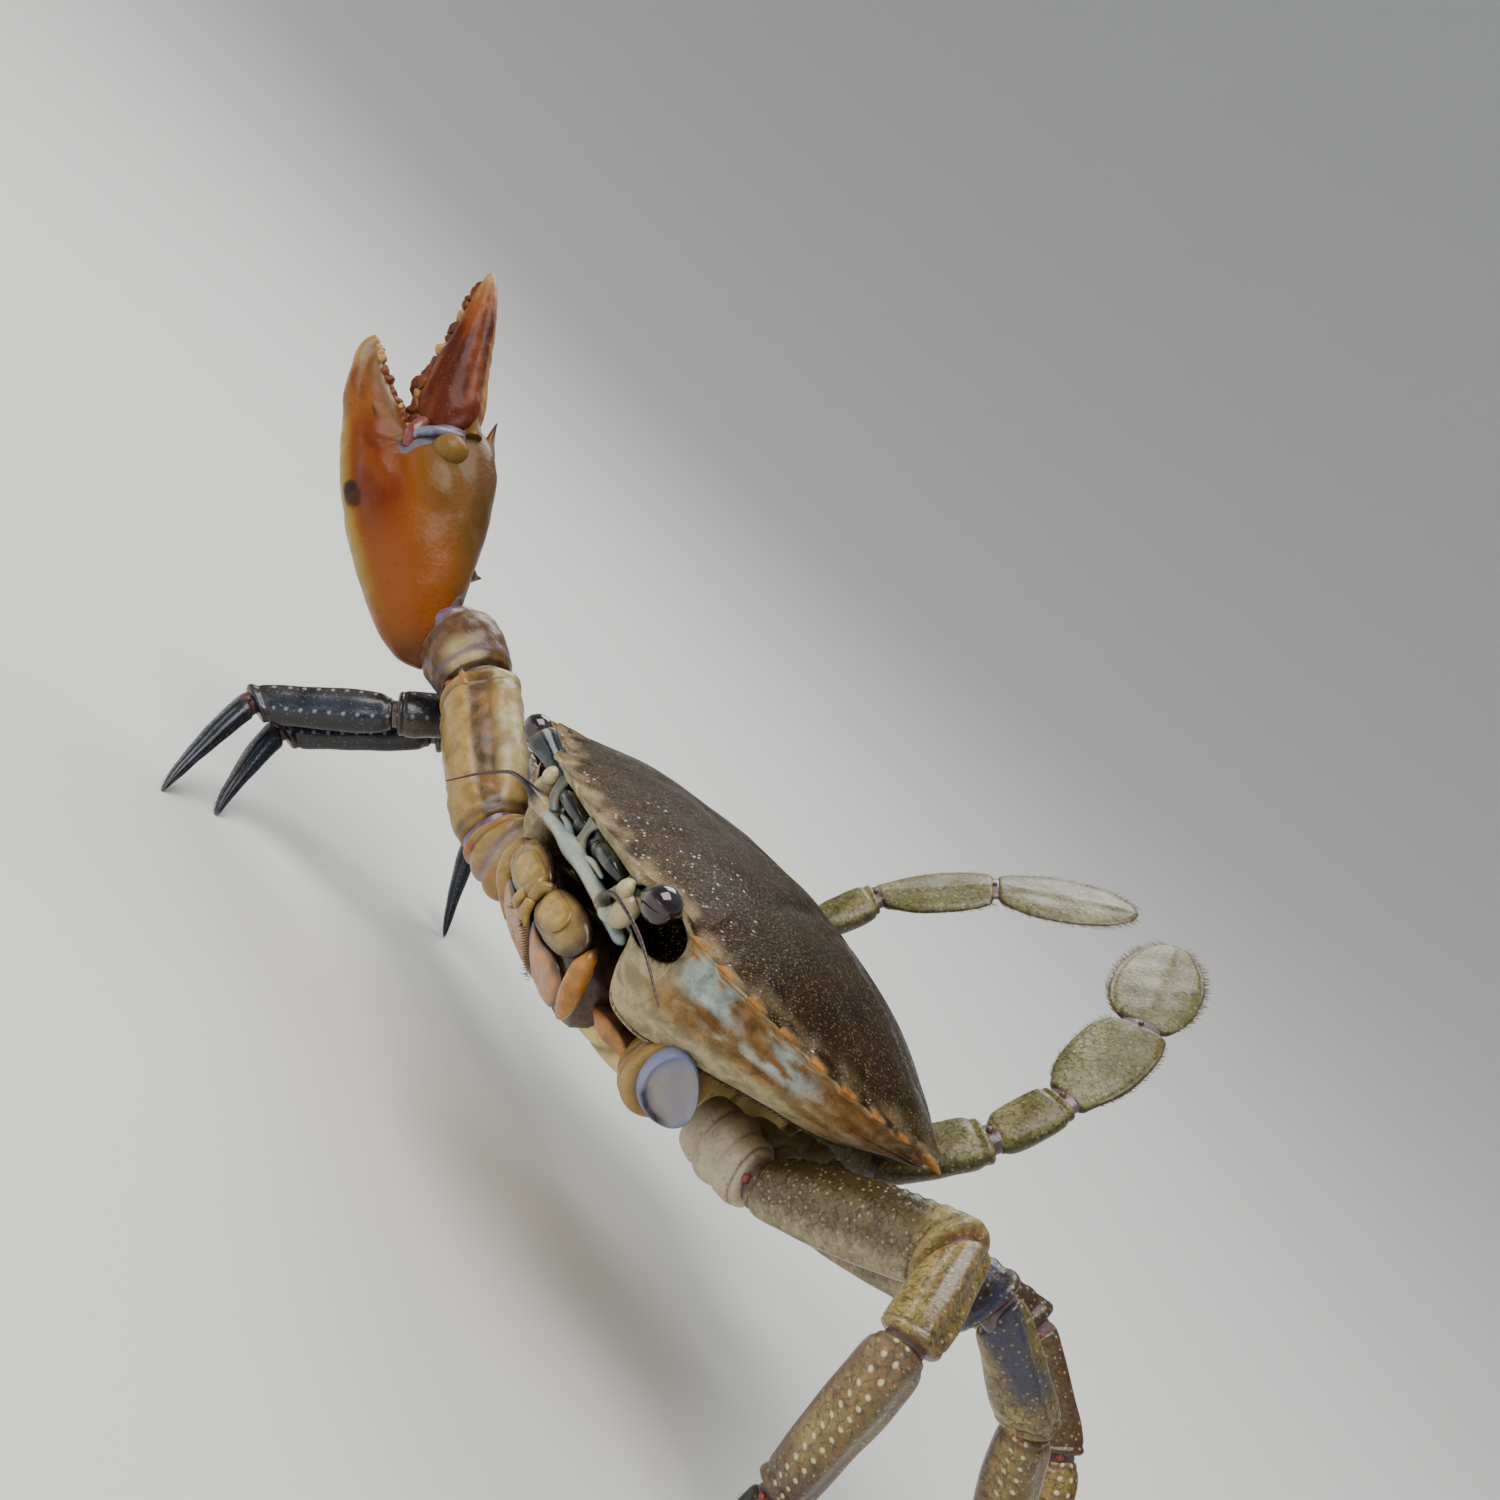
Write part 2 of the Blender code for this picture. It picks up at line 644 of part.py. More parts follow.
def build_walking_leg(number, root, bearings, foot):
    """Base, arm, cuff, shin and toe of a leg that stands on the floor at the foot's place."""
    joints = chain(root, bearings, WALKING_LEG_LENGTHS[number])
    joints.append(Vector((*foot, FLOOR)))
    cuts = joint_cuts(joints)
    side_hint = (joints[2] - joints[1]).cross(UP).normalized()
    scale = WALKING_LEG_SCALES[number]
    profiles = (BASE_PROFILE, ARM_PROFILE, CUFF_PROFILE, SHIN_PROFILE, TOE_PROFILE)
    toe = len(profiles) - 1
    segments = []
    for index, profile in enumerate(profiles):
        end_cut = (joints[-1], -UP) if index == toe else cuts[index + 1][0]
        sized = [(share, height * scale, thickness * scale) for share, height, thickness in profile]
        segments.append(limb_segment(
            joints[index], joints[index + 1], cuts[index][1], end_cut, side_hint, sized,
            bow=1.6 if index == toe else 0.0,
        ))
    return segments


def build_swimming_leg(side):
    """Base, arm, cuff, blade and paddle of the last leg, raised behind the shell."""
    joints = chain(SWIMMING_LEG_ROOT, SWIMMING_LEG_BEARINGS, SWIMMING_LEG_LENGTHS)
    joints = [mirrored(joint, side) for joint in joints]
    cuts = joint_cuts(joints)
    side_hint = Vector((0.0, -0.68, 0.74))
    profiles = (SWIM_BASE_PROFILE, SWIM_ARM_PROFILE, SWIM_CUFF_PROFILE, BLADE_PROFILE, PADDLE_PROFILE)
    return [
        limb_segment(
            joints[index], joints[index + 1], cuts[index][1], cuts[index + 1][0], side_hint, profile,
        )
        for index, profile in enumerate(profiles)
    ]


# Right claw

HAND_ALONG = (Vector(HAND_TIP) - Vector(WRIST)).normalized()
HAND_UP = Vector(HAND_UPWARD)
HAND_UP = (HAND_UP - HAND_ALONG * HAND_UP.dot(HAND_ALONG)).normalized()
HAND_OUT = HAND_ALONG.cross(HAND_UP)


def on_hand(along, up, out=0.0):
    """Point of the hand: along it, up towards the moving finger, out to the outer face."""
    return Vector(WRIST) + HAND_ALONG * along + HAND_UP * up + HAND_OUT * out


def hand_ring(along, low, high, half_thick, slant):
    """Section of the hand, flatter on its inner face; a slant leans it against the hand's length."""
    count = 14
    inner_flatness = 0.8
    ring = []
    for index in range(count):
        angle = 2.0 * math.pi * index / count
        up = math.copysign(abs(math.sin(angle)) ** 0.9, math.sin(angle)) * 0.5 * (high - low)
        out = math.cos(angle) * half_thick
        if out < 0.0:
            out *= inner_flatness
        ring.append(on_hand(along + slant * up, 0.5 * (low + high) + up, out))
    return ring


def build_hand():
    """Swollen palm of the hand, with the spines round its far end."""
    stations = (
        (3.0, -12.0, 5.5, 7.5, 0.95),
        (11.0, -17.0, 11.5, 11.0, 0.7),
        (23.0, -19.6, 17.0, 13.4, 0.4),
        (37.0, -19.8, 21.6, 14.2, 0.15),
        (49.0, -18.4, 23.6, 13.2, 0.0),
        (PALM_LENGTH, -16.6, 21.6, 11.4, 0.0),
    )
    hand = loft("hand", [hand_ring(*station) for station in stations])
    thorns = [
        spine("thorn", on_hand(52.5, 21.6, 3.5), HAND_UP * 0.55 + HAND_ALONG, 9.5, 2.6),
        spine("thorn", on_hand(53.0, 19.5, -6.0), HAND_UP * 0.45 + HAND_ALONG, 7.0, 2.2),
        spine("thorn", on_hand(10.0, 6.0, 9.0), HAND_UP * 0.6 + HAND_OUT, 5.0, 2.2),
    ]
    combine(hand, thorns, "UNION")
    return hand


def build_fixed_finger():
    """Finger that goes on from the palm's lower half, with its biting teeth."""
    stations = (
        (PALM_LENGTH + GAP, -16.5, 5.4, 10.4, 0.0),
        (62.0, -15.6, 4.0, 9.0, 0.0),
        (72.0, -12.8, 2.4, 7.0, 0.0),
        (82.0, -9.6, 1.4, 5.2, 0.0),
        (90.0, -5.6, 1.8, 3.4, 0.0),
        (94.5, -1.6, 2.2, 1.4, 0.0),
    )
    finger = loft("fixed_finger", [hand_ring(*station) for station in stations], end=on_hand(96.4, 1.6))
    edge_along = [station[0] for station in stations]
    edge_height = [station[2] for station in stations]
    heading = HAND_UP - HAND_ALONG * 0.15
    teeth = []
    for step in range(9):
        along = 63.5 + 3.4 * step
        height = float(np.interp(along, edge_along, edge_height))
        radius = 2.3 if step < 2 else 1.9 - 0.1 * step
        teeth.append(spine("tooth", on_hand(along, height - 0.7, 0.4), heading, radius + 0.8, radius, 5))
    combine(finger, teeth, "UNION")
    return finger


def build_finger():
    """Moving finger, opened, with its root in the palm and its biting teeth."""
    stations = (
        (55.6, 12.0, 6.6, 5.8),
        (60.0, 13.4, 7.8, 6.9),
        (66.0, 15.6, 9.2, 7.4),
        (75.0, 20.2, 8.0, 6.6),
        (85.0, 26.2, 6.3, 5.5),
        (95.0, 31.8, 4.4, 4.2),
        (102.5, 35.6, 2.7, 2.8),
        (106.2, 37.4, 1.2, 1.3),
    )
    path = [on_hand(along, up) for along, up, _, _ in stations]
    last = len(path) - 1
    rings = []
    for index, (_, _, half_height, half_thick) in enumerate(stations):
        heading = (path[min(index + 1, last)] - path[max(index - 1, 0)]).normalized()
        rings.append(oval(path[index], HAND_OUT.cross(heading), HAND_OUT, half_height, half_thick, 12))
    finger = loft("finger", rings, end=on_hand(107.6, 38.0))

    teeth = []
    for step in range(10):
        place = 1.15 + 0.475 * step
        index = int(place)
        blend = place - index
        heading = (path[index + 1] - path[index]).normalized()
        inward = heading.cross(HAND_OUT)
        half_height = stations[index][2] * (1.0 - blend) + stations[index + 1][2] * blend
        radius = 3.0 if step == 1 else 2.2 - 0.13 * step
        root = path[index].lerp(path[index + 1], blend) + inward * (half_height - 0.8)
        teeth.append(spine("tooth", root, inward, radius + 0.6, radius, 5))
    combine(finger, teeth, "UNION")
    return finger


def build_claw_arm():
    """Base, arm and wrist piece that carry the hand."""
    joints = [Vector(CLAW_ROOT), Vector(CLAW_ARM_START), Vector(CLAW_ARM_END), Vector(WRIST)]
    joints[3] -= (joints[3] - joints[2]).normalized()
    cuts = joint_cuts(joints)
    side_hint = Vector((0.25, 0.9, 0.35)).normalized()
    base, arm, cuff = [
        limb_segment(
            joints[index], joints[index + 1], cuts[index][1], cuts[index + 1][0], side_hint, profile, 12,
        )
        for index, profile in enumerate((CLAW_BASE_PROFILE, CLAW_ARM_PROFILE, CLAW_CUFF_PROFILE))
    ]
    along = (joints[2] - joints[1]).normalized()
    thin, tall = limb_frame(along, side_hint)
    spines = []
    for share in (0.35, 0.6, 0.82):
        root = joints[1].lerp(joints[2], share) - thin * 5.6 + tall * 7.4
        spines.append(spine("thorn", root, along * 0.6 - thin * 0.6 + tall * 0.7, 5.5, 2.4))
    root = joints[1].lerp(joints[2], 0.78) + thin * 8.6
    spines.append(spine("thorn", root, along * 0.6 + thin, 4.0, 2.0))
    combine(arm, spines, "UNION")
    return base, arm, cuff


def build_stump():
    """Base of the lost left claw and the pale disc that closes it."""
    root = Vector(STUMP_ROOT)
    end = Vector(STUMP_END)
    heading = (end - root).normalized()
    plug_start = end - heading * STUMP_PLUG
    side_hint = Vector((0.2, 0.5, -0.3))
    base_cut = (plug_start - heading * (GAP / 2.0), heading)
    plug_cut = (plug_start + heading * (GAP / 2.0), heading)
    base = limb_segment(root, end, None, base_cut, side_hint, STUMP_BASE_PROFILE, 12)
    plug = limb_segment(
        plug_start, end + heading * STUMP_PLUG, plug_cut, None, side_hint, STUMP_PLUG_PROFILE, 12,
    )
    return base, plug


def build_crab():
    shell = build_shell()
    chest = build_chest()
    tail = build_tail_flap()
    mouth_frame = build_mouth_frame()
    lids = [build_mouth_lid(side) for _, side in SIDES]
    eyes = [build_eye(1.0, LEFT_EYE_TIP), build_eye(-1.0, RIGHT_EYE_TIP)]
    feelers = [
        build_feeler(1.0, (
            (17.0, -44.5, -10.4), (20.5, -48.8, -9.4), (24.0, -52.0, -7.0), (31.0, -54.6, -5.0),
            (42.0, -53.8, -5.8), (56.0, -51.0, -10.6),
        )),
        build_feeler(-1.0, (
            (17.0, -44.5, -10.4), (20.5, -48.8, -9.6), (24.0, -51.8, -9.0), (30.0, -52.6, -10.0),
            (38.5, -52.6, -15.0), (49.0, -53.0, -24.5),
        )),
    ]
    small_feelers = [build_small_feeler(side) for _, side in SIDES]
    claw_base, claw_arm, claw_cuff = build_claw_arm()
    hand = build_hand()
    fixed_finger = build_fixed_finger()
    finger = build_finger()
    stump_base, stump = build_stump()
    legs = {}
    for number, side, root, bearings, foot in WALKING_LEGS:
        legs["walking_leg_%d_%s" % (number, side)] = build_walking_leg(number, root, bearings, foot)
    for name, side in SIDES:
        legs["swimming_leg_" + name] = build_swimming_leg(side)

    orbits = [ellipsoid("orbit", mirrored(ORBIT_MIDDLE, side), ORBIT_HALF_SIZES) for _, side in SIDES]
    sockets = [
        ellipsoid("socket", mirrored(SOCKET_MIDDLE, side), SOCKET_HALF_SIZES) for _, side in SIDES
    ]
    bases = [claw_base, stump_base] + [segments[0] for segments in legs.values()]
    combine(shell, orbits, "DIFFERENCE")
    combine(mouth_frame, sockets, "DIFFERENCE")
    make_room(hand, [finger])
    make_room(fixed_finger, [finger])
    make_room(claw_cuff, [hand])
    make_room(mouth_frame, eyes + feelers + small_feelers + [shell])
    make_room(shell, eyes)
    for neighbour in lids + bases + [stump]:
        make_room(neighbour, [shell])
    make_room(chest, [shell, mouth_frame, tail] + lids + bases)

    keep(shell, "shell", SHELL_COLOUR)
    keep(chest, "chest", BELLY_COLOUR)
    keep(tail, "tail_flap", BELLY_COLOUR)
    keep(mouth_frame, "mouth_frame", MOUTH_COLOUR)
    for index, (name, _) in enumerate(SIDES):
        keep(lids[index], "mouth_lid_" + name, LID_COLOUR)
        keep(eyes[index], "eye_" + name, EYE_COLOUR, EYE_ROUGHNESS)
        keep(feelers[index], "feeler_" + name, FEELER_COLOUR)
        keep(small_feelers[index], "small_feeler_" + name, FEELER_COLOUR)
    keep(claw_base, "claw_base", ARM_COLOUR)
    keep(claw_arm, "claw_arm", ARM_COLOUR)
    keep(claw_cuff, "claw_cuff", ARM_COLOUR)
    keep(hand, "claw_hand", CLAW_COLOUR)
    keep(fixed_finger, "claw_fixed_finger", CLAW_COLOUR)
    keep(finger, "claw_finger", FINGER_COLOUR)
    keep(stump_base, "lost_claw_base", ARM_COLOUR)
    keep(stump, "lost_claw_stump", STUMP_COLOUR)
    for leg, segments in legs.items():
        outer = ("blade", "paddle") if leg.startswith("swimming") else ("shin", "toe")
        for name, segment in zip(("base", "arm", "cuff") + outer, segments):
            keep(segment, leg + "_" + name, TOE_COLOUR if name == "toe" else LEG_COLOUR)


def set_on_floor():
    """Hang every piece on one empty, so that the whole is centred over zero with its feet at zero."""
    corners = np.array([tuple(corner.co) for part in PARTS for corner in part.data.vertices])
    middle = 0.5 * (corners.min(axis=0) + corners.max(axis=0))
    crab = bpy.data.objects.new("crab", None)
    bpy.context.scene.collection.objects.link(crab)
    crab.location = (-middle[0], -middle[1], -FLOOR * MM)
    for part in PARTS:
        part.parent = crab
        part.data.shade_smooth()
        part.data.set_sharp_from_angle(angle=math.radians(40.0))


for old in list(bpy.data.objects):
    bpy.data.objects.remove(old)
build_crab()
set_on_floor()
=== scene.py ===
import math

import bmesh
import bpy
import numpy as np
from mathutils import Matrix, Vector
from mathutils.kdtree import KDTree


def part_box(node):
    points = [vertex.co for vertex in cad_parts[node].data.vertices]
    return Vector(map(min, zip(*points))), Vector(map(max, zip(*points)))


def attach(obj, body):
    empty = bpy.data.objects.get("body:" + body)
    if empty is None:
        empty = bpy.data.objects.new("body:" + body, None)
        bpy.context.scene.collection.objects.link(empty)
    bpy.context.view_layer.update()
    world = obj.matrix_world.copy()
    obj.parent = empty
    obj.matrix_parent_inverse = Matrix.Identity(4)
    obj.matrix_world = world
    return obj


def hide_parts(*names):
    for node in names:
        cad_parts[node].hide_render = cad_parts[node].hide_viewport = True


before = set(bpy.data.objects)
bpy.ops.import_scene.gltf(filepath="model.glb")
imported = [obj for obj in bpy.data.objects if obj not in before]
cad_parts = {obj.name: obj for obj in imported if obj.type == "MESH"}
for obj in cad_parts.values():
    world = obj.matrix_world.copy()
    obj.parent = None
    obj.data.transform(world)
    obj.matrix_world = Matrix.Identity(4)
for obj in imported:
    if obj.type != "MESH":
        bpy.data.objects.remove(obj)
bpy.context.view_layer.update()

# Stand, light and camera.
# The model stands on a plain pale floor that curves up far away, under soft studio lights.
# Places are in millimetres from the middle of the shell: +X the crab's left, -Y its front, +Z up.

MM = 0.001
DOME_HEIGHT = 14
FRONT_REACH = 53.6
shell_low, shell_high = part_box("shell")
MIDDLE = np.array((
    0.5 * (shell_low.x + shell_high.x),
    shell_low.y + FRONT_REACH * MM,
    shell_high.z - DOME_HEIGHT * MM,
))
CAMERA_BEARING = math.radians(53.2)
CAMERA_RISE = math.radians(2.6)
CAMERA_ROLL = math.radians(43.8)
CAMERA_PLACE = (248.5, -219.3, 43.8)
CAMERA_LENS = 36
FLOOR_RADIUS = 0.5
WALL_CURVE = 4
WALL_TOP = 6
WALL_STEPS = 32
FLOOR_SIDES = 64
FLOOR_DROP = 0.2 * MM
SIDES = (("left", 1), ("right", -1))


def new_object(name, data):
    """Object of a mesh, light or camera, put into the scene."""
    made = bpy.data.objects.new(name, data)
    bpy.context.scene.collection.objects.link(made)
    return made


view_back = Vector((
    math.sin(CAMERA_BEARING) * math.cos(CAMERA_RISE),
    -math.cos(CAMERA_BEARING) * math.cos(CAMERA_RISE),
    math.sin(CAMERA_RISE),
))
level_right = Vector((math.cos(CAMERA_BEARING), math.sin(CAMERA_BEARING), 0))
level_up = view_back.cross(level_right)
view_right = level_right * math.cos(CAMERA_ROLL) + level_up * math.sin(CAMERA_ROLL)
view_up = level_up * math.cos(CAMERA_ROLL) - level_right * math.sin(CAMERA_ROLL)

camera_data = bpy.data.cameras.new("camera")
camera_data.lens = CAMERA_LENS
camera_data.sensor_width = CAMERA_LENS
camera_data.clip_start = 0.01
camera_data.clip_end = 20
camera = new_object("camera", camera_data)
camera_turn = Matrix((view_right, view_up, view_back)).transposed().to_4x4()
camera.matrix_world = Matrix.Translation(Vector(MIDDLE) + Vector(CAMERA_PLACE) * MM) @ camera_turn
bpy.context.scene.camera = camera

for light_name, heading, distance, size, watts, colour in (
    ("key_light", view_up * 0.8 + view_back * 0.5 + Vector((0, 0, 0.6)), 1.6, 1.2, 30, (1, 0.98, 0.94)),
    ("fill_light", view_back * 0.8 - view_right * 0.7 + Vector((0, 0, 0.3)), 1.8, 1.4, 10, (0.93, 0.97, 1)),
    ("rim_light", view_up * 0.5 - view_back * 0.9 + Vector((0, 0, 0.7)), 1.6, 0.8, 12, (1, 1, 1)),
):
    light_data = bpy.data.lights.new(light_name, "AREA")
    light_data.size = size
    light_data.energy = watts
    light_data.color = colour
    light = new_object(light_name, light_data)
    place = Vector(MIDDLE) + heading.normalized() * distance
    light.matrix_world = Matrix.Translation(place) @ heading.to_track_quat("Z", "Y").to_matrix().to_4x4()

sky = bpy.data.worlds.new("pale_sky")
sky.use_nodes = True
sky.node_tree.nodes["Background"].inputs["Color"].default_value = (0.9, 0.95, 1, 1)
sky.node_tree.nodes["Background"].inputs["Strength"].default_value = 0.5
bpy.context.scene.world = sky

floor_profile = [(0, 0), (FLOOR_RADIUS, 0)]
for step in range(1, WALL_STEPS + 1):
    turn = 0.5 * math.pi * step / WALL_STEPS
    floor_profile.append((
        FLOOR_RADIUS + WALL_CURVE * math.sin(turn), WALL_CURVE * (1 - math.cos(turn)),
    ))
floor_profile.append((FLOOR_RADIUS + WALL_CURVE, WALL_TOP))
floor_points, floor_faces = [], []
for level, (radius, height) in enumerate(floor_profile):
    for side in range(FLOOR_SIDES):
        turn = 2 * math.pi * side / FLOOR_SIDES
        floor_points.append((radius * math.cos(turn), radius * math.sin(turn), height - FLOOR_DROP))
        if level:
            here = level * FLOOR_SIDES
            following = (side + 1) % FLOOR_SIDES
            floor_faces.append((
                here - FLOOR_SIDES + side, here - FLOOR_SIDES + following, here + following, here + side,
            ))
floor_mesh = bpy.data.meshes.new("floor")
floor_mesh.from_pydata(floor_points, [], floor_faces)
floor_mesh.shade_smooth()
floor_material = bpy.data.materials.new("floor_paint")
floor_material.use_nodes = True
floor_shader = floor_material.node_tree.nodes["Principled BSDF"]
floor_shader.inputs["Base Color"].default_value = (0.76, 0.76, 0.74, 1)
floor_shader.inputs["Roughness"].default_value = 0.95
floor_mesh.materials.append(floor_material)
floor = new_object("floor", floor_mesh)


# Carapace.
# One hard chitin shell, a low dome with nine hooked teeth on each side and four blunt ones in front.
# Its flanks fold under to the mouth and the leg bases, and a hollow on each side holds an eye.

# Painted shade: every tone is darkened by this share, as if the whole crab lay in shade.
PAINTED_SHADE_DEPTH = 0.8
WET_CONTRAST = 1.25
SHARP_ANGLE = math.radians(55)
CUT_SHARP_ANGLE = math.radians(50)


def tone(red, green, blue, pattern=1):
    """Linear colour of a screen tone of 0 to 255, darkened all over by painted shade, and how much pattern
    lies on it.
    """
    screen = np.array((red, green, blue)) / 255
    linear = np.where(screen > 0.04045, ((screen + 0.055) / 1.055) ** 2.4, screen / 12.92)
    return np.append(PAINTED_SHADE_DEPTH * linear ** WET_CONTRAST, pattern)


def ramp(values, low, high):
    """0 below low, 1 above high, and a soft change between; low may be the larger."""
    share = np.clip((np.asarray(values, float) - low) / (high - low), 0, 1)
    return share * share * (3 - 2 * share)


def eased(places, keys, values):
    """Smooth curve through the values at the keys."""
    keys = np.array(keys, float)
    values = np.array(values, float)
    places = np.asarray(places, float)
    slopes = np.gradient(values, keys, axis=0)
    index = np.clip(np.searchsorted(keys, places, side="right") - 1, 0, len(keys) - 2)
    span = keys[index + 1] - keys[index]
    share = np.clip((places - keys[index]) / span, 0, 1)
    if values.ndim > 1:
        span = span[..., None]
        share = share[..., None]
    first = (1 + 2 * share) * (1 - share) ** 2 * values[index]
    second = share ** 2 * (3 - 2 * share) * values[index + 1]
    lean = share * (1 - share) ** 2 * slopes[index] - share ** 2 * (1 - share) * slopes[index + 1]
    return first + second + lean * span


def unit(vector):
    """The vector, or each vector of an array, at length 1."""
    vector = np.asarray(vector, float)
    return vector / (np.linalg.norm(vector, axis=-1)[..., None] + 1e-12)


def circle(count):
    """Evenly spaced angles of one full turn."""
    return np.linspace(0, 2 * math.pi, count, endpoint=False)


def places_at(*coordinates):
    """Array of places from a number or an array for each coordinate."""
    return np.stack(np.broadcast_arrays(*coordinates), axis=-1)


def ball(rows, columns, pole):
    """Rings of points on a ball of radius 1, from one pole angle to the other."""
    polar = np.linspace(pole, math.pi - pole, rows)[:, None]
    turn = circle(columns)
    return places_at(np.sin(polar) * np.cos(turn), np.sin(polar) * np.sin(turn), np.cos(polar))


def mirrored(side, points):
    """Places on the crab's left for side 1, or their mirror images on its right for side -1."""
    return np.array(points) * (side, 1, 1)


def wander(points, size, seed):
    """Smooth random field, mostly between -1 and 1, with swells about as wide as the size."""
    draw = np.random.default_rng(seed)
    waves = 9
    total = np.zeros(points.shape[:-1])
    for _ in range(waves):
        heading = draw.normal(size=3)
        heading *= draw.uniform(0.6, 1.5) * math.pi / size / np.linalg.norm(heading)
        total += np.sin(points @ heading + draw.uniform(0, 2 * math.pi))
    return total / math.sqrt(waves)


def spot(points, middle, reach):
    """1 at a place, falling softly to 0 at the reach from it; reach is one length or one for each axis."""
    distance = np.linalg.norm((points - np.array(middle)) / np.array(reach), axis=-1)
    return ramp(distance, 1, 0.35)


def layered(base, points, *layers):
    """Colours for an array of points: a base, with each (mask, colour) laid over it in turn."""
    colours = np.broadcast_to(base, (*points.shape[:-1], 4)).astype(float)
    for mask, colour in layers:
        colours += np.clip(mask, 0, 1)[..., None] * (np.asarray(colour) - colours)
    return colours


def skin(grid, colours, lengthwise=None):
    """Closed surface through rings of points in millimetres, each end drawn to its middle.

    Gives points, faces, colours and skin coordinates: the share around and the length along.
    """
    rows, columns = grid.shape[:2]
    colours = np.broadcast_to(colours, (rows, columns, 4))
    if lengthwise is None:
        steps = np.linalg.norm(np.diff(grid.mean(axis=1), axis=0), axis=1)
        lengthwise = np.concatenate(((0,), np.cumsum(steps)))
    index = np.arange(rows * columns).reshape(rows, columns)
    following = np.roll(index, -1, axis=1)
    quads = np.stack((index[:-1], following[:-1], following[1:], index[1:]), axis=-1)
    faces = quads.reshape(-1, 4).tolist()
    for row, middle in ((0, rows * columns), (rows - 1, rows * columns + 1)):
        faces.extend((int(a), int(b), middle) for a, b in zip(index[row], following[row]))
    closed = [
        np.concatenate((values.reshape(rows * columns, -1), values[[0, -1]].mean(axis=1)))
        for values in (grid, colours)
    ]
    around = np.tile(np.arange(columns) / columns, rows)
    along = np.repeat(lengthwise, columns)
    places = places_at(np.append(around, (0.5, 0.5)), np.append(along, (lengthwise[0], lengthwise[-1])))
    return closed[0], faces, closed[1], places


def give(mesh, name, kind, values):
    """Store a value of its kind on each point of a mesh."""
    field = {"FLOAT": "value", "FLOAT_VECTOR": "vector", "FLOAT_COLOR": "color"}[kind]
    layer = mesh.attributes.new(name, kind, "POINT")
    layer.data.foreach_set(field, np.asarray(values, np.float32).ravel())


def make_piece(name, surfaces, material, nodes=()):
    """One finished object from closed surfaces, riding on the model and standing for its nodes."""
    points, face_lists, paint, places = zip(*surfaces)
    firsts = np.cumsum([0] + [len(part) for part in points]).tolist()
    faces = [
        [corner + first for corner in face] for first, part in zip(firsts, face_lists) for face in part
    ]
    mesh = bpy.data.meshes.new(name)
    mesh.from_pydata((MIDDLE + np.concatenate(points) * MM).tolist(), [], faces)
    work = bmesh.new()
    work.from_mesh(mesh)
    bmesh.ops.recalc_face_normals(work, faces=work.faces)
    work.to_mesh(mesh)
    work.free()
    give(mesh, "paint", "FLOAT_COLOR", np.concatenate(paint))
    places = np.concatenate(places)
    corners = np.empty(len(mesh.loops), np.int32)
    mesh.loops.foreach_get("vertex_index", corners)
    starts = np.empty(len(mesh.polygons), np.int32)
    mesh.polygons.foreach_get("loop_start", starts)
    around = places[corners].copy()
    widest = np.maximum.reduceat(around[:, 0], starts)
    owner = np.repeat(np.arange(len(starts)), np.diff(np.append(starts, len(corners))))
    around[:, 0] += (widest[owner] > 0.75) & (around[:, 0] < 0.25)
    mesh.uv_layers.new(name="skin").data.foreach_set("uv", around.astype(np.float32).ravel())
    mesh.shade_smooth()
    mesh.set_sharp_from_angle(angle=SHARP_ANGLE)
    mesh.materials.append(material)
    piece = new_object(name, mesh)
    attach(piece, "root")
    if nodes:
        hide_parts(*nodes)
    return piece


def put(tree, kind, inputs=None, **settings):
    """Add a node to a tree, set it up, and set or link its inputs."""
    made = tree.nodes.new(kind)
    for setting, value in settings.items():
        setattr(made, setting, value)
    for socket, value in (inputs or {}).items():
        if isinstance(value, bpy.types.NodeSocket):
            tree.links.new(value, made.inputs[socket])
        else:
            made.inputs[socket].default_value = value
    return made


def calc(tree, operation, *values, **settings):
    """Result of a new math node for one operation on its values."""
    made = put(tree, "ShaderNodeMath", dict(enumerate(values)), operation=operation, **settings)
    return made.outputs[0]


def fade(tree, value, low, high):
    """Result of a new node that goes softly from 0 at low to 1 at high."""
    return put(tree, "ShaderNodeMapRange", {
        "Value": value, "From Min": low, "From Max": high,
    }, interpolation_type="SMOOTHSTEP").outputs["Result"]


def effect_group(name, sizes, build):
    """Node group that turns a place and named sizes into a mask, by the nodes that build adds."""
    group = bpy.data.node_groups.new(name, "ShaderNodeTree")
    sockets = group.interface
    sockets.new_socket("Place", in_out="INPUT", socket_type="NodeSocketVector")
    for size, value in sizes.items():
        sockets.new_socket(size, in_out="INPUT", socket_type="NodeSocketFloat").default_value = value
    sockets.new_socket("Mask", in_out="OUTPUT", socket_type="NodeSocketFloat")
    entry = group.nodes.new("NodeGroupInput").outputs
    leave = group.nodes.new("NodeGroupOutput").inputs
    group.links.new(build(group, entry), leave["Mask"])
    return group


def in_cells(group, entry):
    """The place measured in cells of the spacing, which is in millimetres."""
    cells = calc(group, "DIVIDE", 1 / MM, entry["Spacing"])
    scaled = put(group, "ShaderNodeVectorMath", {0: entry["Place"], "Scale": cells}, operation="SCALE")
    return scaled.outputs[0]


def mottle_nodes(group, entry):
    """Soft cloudy patches."""
    cloud = put(group, "ShaderNodeTexNoise", {
        "Vector": in_cells(group, entry), "Scale": 1, "Detail": 4, "Roughness": 0.62, "Distortion": 0.4,
    })
    low = calc(group, "SUBTRACT", 0.5, entry["Softness"])
    high = calc(group, "ADD", 0.5, entry["Softness"])
    return fade(group, cloud.outputs["Fac"], low, high)


